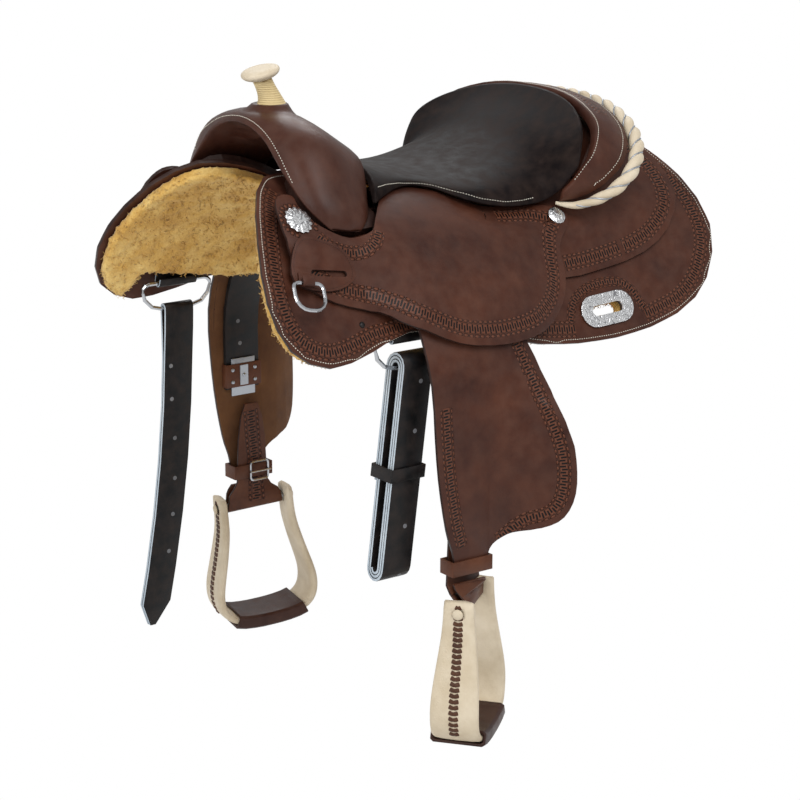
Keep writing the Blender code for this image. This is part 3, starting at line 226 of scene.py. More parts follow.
def bumped(tree, principled, height, distance, strength=1.0):
    """Raises a shader's surface by a height, on top of the bump that it already has."""
    links = [("Height", height), ("Strength", strength), ("Distance", distance)]
    links += [("Normal", link.from_socket) for link in principled.inputs["Normal"].links]
    tree.links.new(node(tree, "ShaderNodeBump", links).outputs[0], principled.inputs["Normal"])


def sums(tree):
    """A helper that adds Math nodes and returns their result."""
    def calc(operation, a, b=0.0, clamp=False):
        """One Math node with two inputs, each a socket or a number."""
        return node(tree, "ShaderNodeMath", [(0, a), (1, b)], operation=operation, use_clamp=clamp).outputs[0]
    return calc


def group(name, inputs, outputs):
    """A shader node group with named float inputs and outputs; returns it with its two end nodes."""
    g = bpy.data.node_groups.new(name, "ShaderNodeTree")
    for label, value in inputs:
        socket = g.interface.new_socket(label, in_out="INPUT", socket_type="NodeSocketFloat")
        socket.default_value = value
    for label in outputs:
        g.interface.new_socket(label, in_out="OUTPUT", socket_type="NodeSocketFloat")
    return g, g.nodes.new("NodeGroupInput"), g.nodes.new("NodeGroupOutput")


# %% Shared effect: leather grain
grain, start, end = group("leather_grain", [("Scale", 700.0), ("Cloud", 14.0)], ["Height", "Tone", "Rub"])
calc = sums(grain)
place = node(grain, "ShaderNodeTexCoord").outputs["Object"]
pores = node(grain, "ShaderNodeTexVoronoi", [("Vector", place), ("Scale", start.outputs["Scale"])],
             feature="DISTANCE_TO_EDGE")
pebbles = calc("MULTIPLY", pores.outputs["Distance"], 3.0, clamp=True)
fibre = speckle(grain, 1400.0, 4.0)
cloud = speckle(grain, start.outputs["Cloud"], 5.0, 0.6)
grain.links.new(calc("ADD", pebbles, fibre), end.inputs["Height"])
grain.links.new(ranged(grain, cloud, (0.3, 0.7)), end.inputs["Tone"])
grain.links.new(ranged(grain, speckle(grain, 60.0, 8.0), (0.35, 0.75)), end.inputs["Rub"])
print("group", grain.name, "with", len(grain.nodes), "nodes")

# %% [markdown]
# All the leathers share one recipe and differ in colour, gloss and grain size. The colour runs between a
# dark and a light tone by the cloud mask, and fine rubbing lightens it a little, which breaks up the
# highlights.

# %% Leather finishes
RUBBED_LIGHT = (0.02, 0.013, 0.01, 1)


def rgb(r, g, b):
    """A screen colour from 0 to 255 as the linear colour that shaders use."""
    shares = [c / 255 for c in (r, g, b)]
    return (*(s / 12.92 if s < 0.043 else ((s + 0.055) / 1.055) ** 2.4 for s in shares), 1.0)


def leather(name, dark, light, rough=0.45, scale=700.0, bump=0.12, specular=0.22):
    """A leather between two tones; a larger scale is a finer grain, and bump is its height in millimetres."""
    m, tree, principled = shader(name, {"Specular IOR Level": specular})
    skin = node(tree, "ShaderNodeGroup", [("Scale", scale)], node_tree=grain).outputs
    tone = mixed(tree, skin["Tone"], rgb(*dark), rgb(*light))
    tree.links.new(mixed(tree, skin["Rub"], tone, RUBBED_LIGHT, "SCREEN"), principled.inputs["Base Color"])
    gloss = ranged(tree, skin["Rub"], target=(rough - 0.07, rough + 0.1))
    tree.links.new(gloss, principled.inputs["Roughness"])
    bumped(tree, principled, skin["Height"], bump * MM, 0.5)
    return m


brown = leather("brown_saddle_leather", (54, 27, 20), (84, 46, 31), 0.46)
warm = leather("warm_brown_leather", (66, 36, 26), (100, 58, 36), 0.46)
polished = leather("polished_swell_leather", (58, 31, 23), (78, 44, 32), 0.42, 900.0, 0.08)
seat_hide = leather("dark_seat_leather", (13, 8, 9), (22, 15, 16), 0.56, 800.0, 0.1, specular=0.08)
strap_hide = leather("black_strap_leather", (13, 13, 14), (22, 22, 24), 0.46)
cut_edge = leather("pale_cut_edge", (176, 190, 202), (206, 216, 224), 0.7, 1500.0)
burnished = leather("burnished_edge", (38, 23, 20), (52, 32, 27), 0.35, 900.0)
suede = leather("fender_suede", (84, 54, 34), (118, 80, 50), 0.85, 1300.0, 0.2)
rawhide = leather("cream_rawhide", (196, 178, 148), (230, 217, 194), 0.5, 260.0, 0.3)
horn_hide = leather("horn_rawhide", (214, 186, 128), (240, 220, 172), 0.42, 300.0, 0.3)
lace_hide = leather("brown_lace", (62, 38, 28), (92, 58, 38), 0.45, 1100.0)
tread_hide = leather("tread_leather", (46, 27, 22), (68, 41, 33), 0.45)
print("leathers ready")

# %% [markdown]
# The tooled border is stamped: a row of shells, a cut line, a meander with its ground pressed dark, a
# second line and a second row of shells. Every border strip carries a map whose U counts stamps along it
# and whose V runs across it, so one group draws the whole pattern from those two numbers, on any curve.

# %% Shared effect: stamped border
MEANDER_SCALE = 4.2
MEANDER_EDGE = 0.98
WEB_EDGE = 0.55
SHELL_ROW = 0.4
SHELL_ROW_EDGE = 0.3
SHELL_ACROSS, SHELL_ALONG = 11.0, 2.6
RULE_PLACE, RULE_SHARPNESS = 0.265, 55.0

border, start, end = group("stamped_border", [("Depth", 1.0)], ["Height", "Ground_and_ring_shade", "Line", "Dome_highlight_and_ribbon"])
calc = sums(border)
uv = node(border, "ShaderNodeUVMap", uv_map="border")
U, V = node(border, "ShaderNodeSeparateXYZ", [("Vector", uv.outputs[0])]).outputs[:2]
from_middle = calc("SUBTRACT", V, 0.5)
off_middle = calc("ABSOLUTE", from_middle)

wave = calc("SINE", calc("MULTIPLY", U, 2 * math.pi))
bars = calc("COSINE", calc("MULTIPLY", U, 4 * math.pi))
across = calc("MULTIPLY", from_middle, MEANDER_SCALE)
inside = calc("LESS_THAN", calc("ABSOLUTE", across), MEANDER_EDGE)
sunk = calc("MULTIPLY", calc("SUBTRACT", 0.25, bars), 2.5, clamp=True)
top_web = calc("MULTIPLY", calc("GREATER_THAN", across, WEB_EDGE), calc("GREATER_THAN", wave, 0.0))
low_web = calc("MULTIPLY", calc("LESS_THAN", across, -WEB_EDGE), calc("LESS_THAN", wave, 0.0))
web = calc("SUBTRACT", 1.0, calc("MAXIMUM", top_web, low_web))
ground = calc("MULTIPLY", calc("MULTIPLY", sunk, web), inside)
ribbon = calc("MULTIPLY", calc("SUBTRACT", inside, ground, clamp=True), 0.7)

row = calc("GREATER_THAN", off_middle, SHELL_ROW_EDGE)
off_row = calc("POWER", calc("MULTIPLY", calc("SUBTRACT", off_middle, SHELL_ROW), SHELL_ACROSS), 2.0)
along = calc("POWER", calc("MULTIPLY", calc("SUBTRACT", calc("FRACT", U), 0.5), SHELL_ALONG), 2.0)
shell = calc("ADD", off_row, along)
dome = calc("MULTIPLY", calc("SUBTRACT", 1.0, shell, clamp=True), row)
off_ring = calc("ABSOLUTE", calc("SUBTRACT", shell, 1.15))
ring = calc("MULTIPLY", calc("SUBTRACT", 1.0, calc("MULTIPLY", off_ring, 3.2), clamp=True), row)

off_line = calc("ABSOLUTE", calc("SUBTRACT", off_middle, RULE_PLACE))
line = calc("SUBTRACT", 1.0, calc("MULTIPLY", off_line, RULE_SHARPNESS), clamp=True)
# The rings round the shells are painted shade in the dark ground tone; the pressed ground of the meander
# takes the same tone.
dark = calc("ADD", ground, calc("MULTIPLY", ring, 0.85), clamp=True)
relief = calc("SUBTRACT", calc("SUBTRACT", calc("MULTIPLY", dome, 0.8), dark), calc("MULTIPLY", line, 0.6))
border.links.new(calc("MULTIPLY", relief, start.outputs["Depth"]), end.inputs["Height"])
border.links.new(dark, end.inputs["Ground_and_ring_shade"])
border.links.new(line, end.inputs["Line"])
# The shell domes are lightened later as a painted highlight, and the meander ribbon takes the same lighter
# tone.
border.links.new(calc("MAXIMUM", dome, ribbon), end.inputs["Dome_highlight_and_ribbon"])
print("group", border.name, "with", len(border.nodes), "nodes")

# %% [markdown]
# The pressed ground of the meander is coloured nearly black, and the rings round the shells take the same
# dark tone as painted shade. The meander ribbon is lighter, and the shell domes take the same light tone as
# a painted highlight, so the stamp shows even where the light is flat. The tooled finish is therefore the
# plain leather with three tones laid over it by the masks.

# %% Tooled leather
def tooled(name, dark_tone, light_tone, line_tone, ground_and_ring_shade_tone, depth):
    """A leather with the stamped border laid over its colour and its bump, with painted shade in the shell
    rings and a painted highlight on the shell domes.
    """
    m = leather(name, dark_tone, light_tone, 0.42)
    tree = m.node_tree
    principled = tree.nodes["Principled BSDF"]
    stamp = node(tree, "ShaderNodeGroup", node_tree=border).outputs
    skin = principled.inputs["Base Color"].links[0].from_socket
    # Painted highlight: the shell domes, together with the meander ribbon, go towards 0.86 of the line tone.
    dome_highlight_and_ribbon_skin = mixed(tree, stamp["Dome_highlight_and_ribbon"], skin, rgb(*[c * 0.86 for c in line_tone]))
    ruled = mixed(tree, stamp["Line"], dome_highlight_and_ribbon_skin, rgb(*line_tone))
    # Painted shade: the rings round the shells, together with the pressed ground, take the ground tone.
    tree.links.new(mixed(tree, stamp["Ground_and_ring_shade"], ruled, rgb(*ground_and_ring_shade_tone)), principled.inputs["Base Color"])
    bumped(tree, principled, stamp["Height"], depth)
    return m


# (20, 11, 9) is the pressed ground and the painted shade in the shell rings; the domes carry a painted
# highlight from the line tone.
tooled_brown = tooled("tooled_brown_leather", (60, 33, 25), (84, 48, 34), (128, 76, 54), (20, 11, 9), 2 * MM)
print("tooled leather ready")

# %% [markdown]
# The conchos and slot plates are engraved silver, whose cuts are a little darker than the ridges between
# them. The buckles and dees are plain stainless bar. Both are one brushed metal, and the silver adds curled
# cuts to it.

# %% Metals
SWIRL = 0.022


def metal(name, tone, rough, scratch=0.1):
    """A brushed metal whose gloss and tone change a little with fine scratches."""
    m, tree, principled = shader(name, {"Metallic": 1})
    streak = speckle(tree, 220.0, 6.0)
    gloss = ranged(tree, streak, target=(rough - scratch / 2, rough + scratch))
    tree.links.new(gloss, principled.inputs["Roughness"])
    brushed = mixed(tree, streak, rgb(*[c * 0.9 for c in tone]), rgb(*tone))
    tree.links.new(brushed, principled.inputs["Base Color"])
    return m


steel = metal("stainless_steel", (196, 198, 202), 0.22)
dull_steel = metal("dull_steel", (186, 190, 196), 0.42)
dark_iron = metal("dark_iron", (60, 58, 58), 0.45)

engraved = metal("engraved_silver", (232, 233, 235), 0.24)
tree = engraved.node_tree
principled = tree.nodes["Principled BSDF"]
place = node(tree, "ShaderNodeTexCoord").outputs["Object"]
swirl = speckle(tree, 80.0, 1.0, output="Color")
bend = node(tree, "ShaderNodeVectorMath", [(0, swirl), (1, (SWIRL, SWIRL, SWIRL))], operation="MULTIPLY")
curl = node(tree, "ShaderNodeVectorMath", [(0, place), (1, bend.outputs[0])], operation="ADD")
cuts = node(tree, "ShaderNodeTexWave", [("Vector", curl.outputs[0]), ("Scale", 75.0), ("Distortion", 2.0)],
            wave_type="RINGS", rings_direction="SPHERICAL")
cut = ranged(tree, cuts.outputs["Fac"], (0.03, 0.24))
tree.links.new(mixed(tree, cut, rgb(158, 158, 162), rgb(236, 237, 238)), principled.inputs["Base Color"])
bumped(tree, principled, cut, 0.5 * MM, 0.6)
print("metals ready")

# %% [markdown]
# Sheepskin is golden with browner and paler patches, and so is each lock of it, so a slow noise and a fine
# one pick its tone together. The thread is waxed: off-white, with the twist of its strands showing as fine
# specks.

# %% Wool and thread
WOOL_PLACES = (0.3, 0.48, 0.68)
WOOL_TONES = ((176, 130, 62), (212, 168, 88), (238, 206, 132))
wool, tree, principled = shader("golden_fleece", {"Roughness": 0.9, "Sheen Weight": 0.25,
                                                  "Specular IOR Level": 0.15})
calc = sums(tree)
patch = speckle(tree, 22.0, 6.0)
strand = speckle(tree, 420.0, 4.0)
tone = calc("MULTIPLY", calc("ADD", patch, calc("MULTIPLY", strand, 0.45)), 0.69)
ramp = node(tree, "ShaderNodeValToRGB", [("Fac", tone)])
stops = ramp.color_ramp.elements
stops[0].position, stops[1].position = WOOL_PLACES[0], WOOL_PLACES[2]
stops.new(WOOL_PLACES[1])
for stop, colour in zip(stops, WOOL_TONES):
    stop.color = rgb(*colour)
tree.links.new(ramp.outputs["Color"], principled.inputs["Base Color"])
bumped(tree, principled, strand, 1 * MM, 0.7)

thread, tree, principled = shader("waxed_thread", {"Roughness": 0.7})
twist = mixed(tree, speckle(tree, 900.0, 2.0), rgb(186, 178, 160), rgb(240, 236, 224))
tree.links.new(twist, principled.inputs["Base Color"])
print("wool and thread ready")

# %% [markdown]
# Most dressed pieces are grids of points: a stitch, a border, a rivet and a rope are all rows of points
# with four-sided faces between them. A few helpers make such a mesh and let the new piece ride on its body.

# %% Pieces from rows of points
def on_circle(angle, first, second):
    """A direction turned by an angle from the first direction towards the second."""
    return first * math.cos(angle) + second * math.sin(angle)


def rows_of_faces(first, rows, width, closed=True):
    """Four-sided faces between rows of points; in a closed row the last point joins the first."""
    faces = []
    for i in range(rows - 1):
        for k in range(width if closed else width - 1):
            a, b = first + i * width + k, first + i * width + (k + 1) % width
            faces.append((a, b, b + width, a + width))
    return faces


def mesh_of(name, verts, faces, smooth=True):
    """A mesh from points and faces."""
    mesh = bpy.data.meshes.new(name)
    mesh.from_pydata([tuple(v) for v in verts], [], faces)
    for polygon in mesh.polygons:
        polygon.use_smooth = smooth
    return mesh


def mesh_of_bmesh(name, bm):
    """A mesh from a bmesh, which is used up."""
    mesh = bpy.data.meshes.new(name)
    bm.to_mesh(mesh)
    bm.free()
    return mesh


def body_of(name):
    """The body that a solid rides on."""
    return nodes[name]["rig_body"]


def new_piece(name, mesh, body, *finishes):
    """A piece that rides on a body; its mesh takes the finishes unless it already has its own."""
    piece = bpy.data.objects.new(name, mesh)
    bpy.context.scene.collection.objects.link(piece)
    if not len(mesh.materials):
        for finish in finishes:
            mesh.materials.append(finish)
    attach(piece, body)
    return piece


print("helpers for pieces ready")

# %% [markdown]
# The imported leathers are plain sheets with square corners. A saddler rounds and burnishes every cut edge,
# so each leather is copied, its corners are bevelled, and its cut walls get the darker burnished finish.
# The copy then stands for the solid, which stays hidden in the frame.

# %% Copy a solid with rounded, burnished edges
SHEETS = {"skirt": 1.2, "seat_jockey": 1.2, "back_jockey": 1.2, "latigo_keeper": 0.9, "fender": 1.2}
surfaces = {}


def merged(name):
    """A solid's mesh as a bmesh whose facets share their corners."""
    bm = bmesh.new()
    bm.from_mesh(nodes[name].data)
    bmesh.ops.remove_doubles(bm, verts=bm.verts, dist=1e-5)
    bm.normal_update()
    for f in bm.faces:
        f.smooth = True
    return bm


def outward(p):
    """Away from the horse: up on its back and outwards on its flanks."""
    return Vector((p.x, 0, p.z + 0.25)).normalized()


def facing_out(normal, p):
    """A normal at a point, turned over where it points at the horse."""
    return normal if normal.dot(outward(p)) > 0 else -normal


def settle(piece):
    """Applies a piece's modifiers to its mesh."""
    graph = bpy.context.evaluated_depsgraph_get()
    fixed = bpy.data.meshes.new_from_object(piece.evaluated_get(graph))
    piece.modifiers.clear()
    piece.data = fixed


def keep_surface(name, piece):
    """Keeps the surface of a piece under its solid's name, for what is laid on it later."""
    polygons = [p.vertices for p in piece.data.polygons]
    surfaces[name] = BVHTree.FromPolygons([v.co for v in piece.data.vertices], polygons)


def dressed(name, *finishes, bevel, wall=None, limit=38, steps=2):
    """A copy of a solid with edges rounded by bevel mm; wall(face) numbers the finish that a face takes."""
    bm = merged(name)
    for f in bm.faces:
        f.material_index = int(wall(f)) if wall else 0
    piece = new_piece(name + "_dressed", mesh_of_bmesh(name + "_dressed", bm), body_of(name), *finishes)
    round_edges = piece.modifiers.new("rounded_edges", "BEVEL")
    round_edges.width = bevel * MM
    round_edges.segments = steps
    round_edges.limit_method = "ANGLE"
    round_edges.angle_limit = math.radians(limit)
    round_edges.harden_normals = True
    settle(piece)
    keep_surface(name, piece)
    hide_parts(name)
    return piece


def cut_wall(f):
    """True on the cut edge of a leather, not on its two faces."""
    return abs(f.normal.dot(outward(f.calc_center_median()))) < 0.5


def fender_face(f):
    """0 outside, 1 on the cut edge, 2 on the rough inside."""
    return 1 if cut_wall(f) else 2 if f.normal.dot(outward(f.calc_center_median())) < 0 else 0


for side, hand in SIDES:
    for part, bevel in SHEETS.items():
        wall = fender_face if part == "fender" else cut_wall
        dressed(f"{side}_{part}", brown, burnished, suede, bevel=bevel, wall=wall)
dressed("cantle_roll", brown, bevel=1.0)
dressed("cantle_back", brown, bevel=1.5)
print("dressed", sorted(surfaces))

# %% [markdown]
# Borders and stitches follow the cut edge of a leather at an even distance. The edge loop is found on the
# solid: it is the chain of edges between outer faces and walls. Moving it inwards over the surface gives
# any parallel line.

# %% Find the edge of a leather
def edge_loop(name):
    """The outer edge of a leather as a closed chain of points."""
    bm = merged(name)
    outer = {f for f in bm.faces if f.normal.dot(outward(f.calc_center_median())) > 0.5}
    links = {}
    for e in bm.edges:
        if sum(f in outer for f in e.link_faces) == 1:
            a, b = e.verts
            links.setdefault(a, []).append(b)
            links.setdefault(b, []).append(a)
    loops, seen = [], set()
    for first in sorted(links, key=lambda v: v.index):
        chain, onward = [], [first]
        while onward := [v for v in onward if v not in seen]:
            chain.append(onward[0])
            seen.add(onward[0])
            onward = links[onward[0]]
        loops.append([v.co.copy() for v in chain])
    bm.free()
    return max(loops, key=lambda line: sum((a - b).length for a, b in zip(line, line[1:])))


print("skirt edge", len(edge_loop("left_skirt")), "corners")


# %% Lines parallel to an edge
LINE_STEP = 3 * MM
PROBE = 4 * MM
LEAST_POINTS = 6
CORNER_SHARE = 0.93


def even(points, step=LINE_STEP, closed=False):
    """The same line with points a fixed step apart."""
    line = [Vector(p) for p in points] + ([Vector(points[0])] if closed else [])
    lengths = [0.0]
    for a, b in zip(line, line[1:]):
        lengths.append(lengths[-1] + (b - a).length)
    count = max(2, round(lengths[-1] / step))
    wanted = np.linspace(0, lengths[-1], count + 1)[: count if closed else count + 1]
    columns = [np.interp(wanted, lengths, [p[k] for p in line]) for k in range(3)]
    return [Vector(p) for p in zip(*columns)]


def softened(points, rounds, closed=False):
    """The same line with its small corners rounded off."""
    a = np.array(points)
    for _ in range(rounds):
        b = (np.roll(a, 1, 0) + 2 * a + np.roll(a, -1, 0)) / 4
        if not closed:
            b[0], b[-1] = a[0], a[-1]
        a = b
    return [Vector(p) for p in a]


def across_line(points, surface, closed=False):
    """For each point of a line on a surface: the point, the outward normal and the way across the line."""
    rows = []
    for i, p in enumerate(points):
        spot, normal = surface.find_nearest(p)[:2]
        ahead = points[(i + 1) % len(points)] if closed or i + 1 < len(points) else p
        behind = points[i - 1] if closed or i else p
        normal = facing_out(normal, spot)
        rows.append((p, normal, normal.cross((ahead - behind).normalized()).normalized()))
    return rows


def inset(name, depth):
    """A closed line at an even distance inside the edge of a leather."""
    loop = even(edge_loop(name), closed=True)
    surface = surfaces[name]

    def off_leather(p):
        """How far a point is from the leather."""
        return surface.find_nearest(p)[3]

    rows = across_line(softened(loop, 4, closed=True), surface, closed=True)
    inward = sum(1 if off_leather(p + across * PROBE) < off_leather(p - across * PROBE) else -1
                 for p, normal, across in rows)
    way = 1 if inward > 0 else -1
    edge = np.array(loop)
    kept = []
    for p, normal, across in rows:
        q = surface.find_nearest(p + across * way * depth)[0]
        if np.min(np.linalg.norm(edge - np.array(q), axis=1)) > depth * CORNER_SHARE:
            kept.append(q)
    return softened(even(kept, closed=True), 6, closed=True)


def runs(points, where):
    """The stretches of a closed line for which where(point) holds."""
    keep = [where(p) for p in points]
    if all(keep):
        return [points + [points[0]]]
    start = keep.index(False)
    found = [[]]
    for p, good in zip(points[start:] + points[:start], keep[start:] + keep[:start]):
        if good:
            found[-1].append(p)
        elif found[-1]:
            found.append([])
    return [line for line in found if len(line) >= LEAST_POINTS]


print("line inside the skirt edge", len(inset("left_skirt", 19 * MM)), "points")

# %% [markdown]
# A border strip lies a quarter of a millimetre proud of the leather it is stamped in, too little to see
# from the side. It could be a texture on the whole sheet, but a strip bends with the edge, so the stamps
# never skew.

# %% Border strips
STAMP = 8.2 * MM
BORDER_WIDTH = 24 * MM
BORDER_COLUMNS = 6
BORDER_LIFT = 0.25 * MM
BORDER_TUCK = -0.05 * MM


def strip(name, line, surface, width=BORDER_WIDTH, stamp=STAMP, lift=BORDER_LIFT, top=1.0):
    """Faces along a line, mapped so that U counts stamps and V runs across the border from 0 to top."""
    rows = across_line(line, surface)
    verts, uvs, run = [], [], 0.0
    for i, (p, normal, across) in enumerate(rows):
        if i:
            run += (p - rows[i - 1][0]).length
        for k in range(BORDER_COLUMNS + 1):
            v = k / BORDER_COLUMNS
            q, n = surface.find_nearest(p + across * (v - 0.5) * width)[:2]
            if n.dot(normal) < 0:
                n = -n
            verts.append(q + n * (lift if 0 < k < BORDER_COLUMNS else BORDER_TUCK))
            uvs.append((run / stamp, top * v))
    mesh = mesh_of(name, verts, rows_of_faces(0, len(rows), BORDER_COLUMNS + 1, closed=False))
    layer = mesh.uv_layers.new(name="border")
    for loop in mesh.loops:
        layer.data[loop.index].uv = uvs[loop.vertex_index]
    if sum(1 if p.normal.dot(outward(p.center)) > 0 else -1 for p in mesh.polygons) < 0:
        mesh.flip_normals()
    return mesh


def border_on(name, label, line, width=BORDER_WIDTH, lift=BORDER_LIFT):
    """A stamped border along a line on a leather."""
    mesh = strip(f"{label}_border", line, surfaces[name], width, lift=lift)
    return new_piece(f"{label}_border", mesh, body_of(name), tooled_brown)


def borders_where(name, label, line, where, width=BORDER_WIDTH):
    """Borders along the stretches of a closed line for which where(point) holds."""
    for i, run in enumerate(runs(line, where)):
        border_on(name, f"{label}_{i}", run, width)


print("borders", BORDER_WIDTH, "m wide, a stamp every", STAMP, "m")

# %% [markdown]
# Each stitch is a real piece of thread: a short tube that rises from one hole and dives into the next. A
# dashed line in a texture would be cheaper, but it can't cast the small shadow that makes a seam readable.

# %% Stitches
STITCH_PROFILE = ((0.0, -0.4, 0.5), (0.25, 0.45, 1.0), (0.75, 0.45, 1.0), (1.0, -0.4, 0.5))
STITCH_SIDES = 5
HOLE_REACH = 0.6


def bead(verts, faces, a, b, normal, thick):
    """One stitch: a short five-sided thread whose ends dive into the leather."""
    along = b - a
    side = normal.cross(along).normalized()
    faces += rows_of_faces(len(verts), len(STITCH_PROFILE), STITCH_SIDES)
    for t, rise, scale in STITCH_PROFILE:
        centre = a + along * t + normal * thick * rise
        for k in range(STITCH_SIDES):
            verts.append(centre + on_circle(2 * math.pi * k / STITCH_SIDES, side, normal) * thick * scale)


def seated(surface, p):
    """The outer skin at a point, and its outward normal."""
    away = outward(p)
    spot, normal = surface.ray_cast(p + away * 12 * MM, -away)[:2]
    if spot is None or (spot - p).length > 5 * MM:
        spot, normal = surface.find_nearest(p)[:2]
    return spot, facing_out(normal, p)


def stitches(label, body, lines, surface, pitch, thick=0.6, finish=thread):
    """Thread laid along lines, one stitch every pitch mm with a gap between them."""
    verts, faces = [], []
    for line in lines:
        spots = even(line, pitch * MM)
        for a, b in zip(spots, spots[1:]):
            start, normal = seated(surface, a)
            bead(verts, faces, start, seated(surface, a.lerp(b, HOLE_REACH))[0], normal, thick * MM)
    print(label, len(verts) // (len(STITCH_PROFILE) * STITCH_SIDES), "stitches")
    return new_piece(label, mesh_of(label, verts, faces), body, finish)


print("a stitch has", len(STITCH_PROFILE) * STITCH_SIDES, "points")

# %% [markdown]
# The places of borders that don't follow an edge are read off the photograph: a ray from the camera through
# a pixel meets the leather it shows. What is found on the near side is mirrored for the far side.

# %% Lines read off the photograph
ARCH_PIXELS = [(571, 322), (571, 310), (575, 298), (586, 288), (602, 282), (619, 281), (631, 288), (638, 299),
               (645, 309)]
FORK_FOOT_PIXELS = [(318, 236), (324, 242), (338, 250), (353, 254), (368, 251), (377, 242), (378, 231),
                    (374, 220), (371, 210), (369, 204)]


def on_surface(name, pixels):
    """Points on a near-side surface under pixels of the photograph, joined by a smooth line."""
    hits = [surfaces[name].ray_cast(EYE, ray_of_pixel(x, y))[0] for x, y in pixels]
    return softened(even([spot for spot in hits if spot is not None]), 10)


def for_side(line, hand):
    """A line of the near side, mirrored where hand is -1."""
    return [Vector((p.x * hand, p.y, p.z)) for p in line]


def middle_of(name):
    """The middle of a solid's box."""
    low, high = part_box(name)
    return (Vector(low) + Vector(high)) / 2


arch = on_surface("left_skirt", ARCH_PIXELS)
fork_foot = on_surface("left_seat_jockey", FORK_FOOT_PIXELS)
print("arch", len(arch), "fork foot", len(fork_foot))

# %% Borders and seams of the sheets
BORDER_GAPS = {"skirt": 19 * MM, "seat_jockey": 21 * MM, "back_jockey": 20 * MM, "fender": 17 * MM}
SEAM_GAPS = {"skirt": 5 * MM, "latigo_keeper": 3 * MM}
ARCH_WIDTH = 15 * MM
SLIM_BORDER = 20 * MM
PLATE_ROOM, SPINE_ROOM, BACK_SPINE_ROOM, FRONT_SPINE_ROOM = 62 * MM, 20 * MM, 30 * MM, 100 * MM
REAR_BORDER_FROM, FRONT_BORDER_TO, BACK_BORDER_FROM = 0.2, 0.12, 0.33
JOCKEY_BORDER_TOP, JOCKEY_BORDER_FROM = 0.055, -0.07
FENDER_BORDER_LOW, FENDER_BORDER_TOP = -0.35, -0.02
RING_RADIUS, RING_WIDTH, RING_STAMP = 24.5 * MM, 9 * MM, 7 * MM
RING_FROM, RING_TO, RING_POINTS = 0.9, 2 * math.pi - 0.25, 40


def ring_border(side, hand):
    """One row of shells on the seat jockey, round the front concho."""
    jockey = f"{side}_seat_jockey"
    disc = middle_of(f"{side}_front_concho")
    slope = Vector((hand * 0.5, 0, -0.86))
    ring = [seated(surfaces[jockey], disc + on_circle(a, slope, Vector((0, 1, 0))) * RING_RADIUS)[0]
            for a in np.linspace(RING_FROM, RING_TO, RING_POINTS)]
    mesh = strip(f"{jockey}_ring", ring, surfaces[jockey], RING_WIDTH, RING_STAMP, top=0.24)
    new_piece(f"{jockey}_ring", mesh, "saddle", tooled_brown)


def rear_of_skirt(p):
    """The stretch of a skirt's border behind the rider, except over the spine and round the slot plate."""
    return p.y > REAR_BORDER_FROM and abs(p.x) > SPINE_ROOM and (p - plate).length > PLATE_ROOM


def edge_line(side, part):
    """The middle line of the border along the edge of a leather."""
    return inset(f"{side}_{part}", BORDER_GAPS[part])


for side, hand in SIDES:
    plate = middle_of(f"{side}_rear_slot_plate")
    skirt = f"{side}_skirt"
    line = edge_line(side, "skirt")
    borders_where(skirt, f"{skirt}_rear", line, rear_of_skirt)
    borders_where(skirt, f"{skirt}_front", line,
                  lambda p: p.y < FRONT_BORDER_TO and abs(p.x) > FRONT_SPINE_ROOM)
    border_on(skirt, f"{skirt}_arch", for_side(arch, hand), ARCH_WIDTH)
    seam = runs(inset(skirt, SEAM_GAPS["skirt"]), lambda p: abs(p.x) > SPINE_ROOM)
    stitches(f"{skirt}_seam", "saddle", seam, surfaces[skirt], 3.8)

    jockey = f"{side}_seat_jockey"
    borders_where(jockey, f"{jockey}_edge", edge_line(side, "seat_jockey"),
                  lambda p: p.z < JOCKEY_BORDER_TOP and p.y > JOCKEY_BORDER_FROM)
    border_on(jockey, f"{jockey}_fork", for_side(fork_foot, hand), SLIM_BORDER)
    ring_border(side, hand)

    back = f"{side}_back_jockey"
    borders_where(back, f"{back}_edge", edge_line(side, "back_jockey"),
                  lambda p: abs(p.x) > BACK_SPINE_ROOM and p.y > BACK_BORDER_FROM)
    fender = f"{side}_fender"
    borders_where(fender, f"{fender}_edge", edge_line(side, "fender"),
                  lambda p: FENDER_BORDER_LOW < p.z < FENDER_BORDER_TOP, SLIM_BORDER)
    keeper = f"{side}_latigo_keeper"
    keeper_seam = [inset(keeper, SEAM_GAPS["latigo_keeper"])]
    stitches(f"{keeper}_seam", "saddle", keeper_seam, surfaces[keeper], 3.0, 0.3, burnished)
print("borders and seams on the sheets")

# %% [markdown]
# The cantle roll is sewn twice: one seam runs beside the seat, the other beside the rope edge. A stamped
# patch lies between them, across the middle.

# %% Curves through the cantle
RIM = [(0, 430, 195), (50, 430, 194), (100, 425, 187), (145, 415, 174), (171, 406, 160), (190, 390, 144),
       (199, 376, 126), (199, 363, 110), (194, 354, 94), (184, 345, 78)]
ROLL = [(0, 485, 182), (55, 483, 180), (105, 480, 172), (148, 474, 154), (181, 458, 134), (204, 432, 110),
        (206, 408, 92), (199, 386, 76), (186, 364, 66), (172, 346, 62)]
SEAM_SHARES = (0.12, 0.86)
PATCH_HALF = 150 * MM
PATCH_WIDTH = 26 * MM


def smooth_line(points, samples=8):
    """A smooth curve through points given in millimetres."""
    p = [Vector(q) * MM for q in points]
    line = []
    for i in range(len(p) - 1):
        a, b, c, d = p[max(i - 1, 0)], p[i], p[i + 1], p[min(i + 2, len(p) - 1)]
        for k in range(samples):
            t = k / samples
            square, cube = 2 * a - 5 * b + 4 * c - d, 3 * b - a - 3 * c + d
            line.append(b + 0.5 * t * ((c - a) + t * (square + t * cube)))
    return line + [p[-1]]


def mirrored(points):
    """Both halves of a line that starts on the centre plane."""
    return [(-x, y, z) for x, y, z in points[:0:-1]] + list(points)


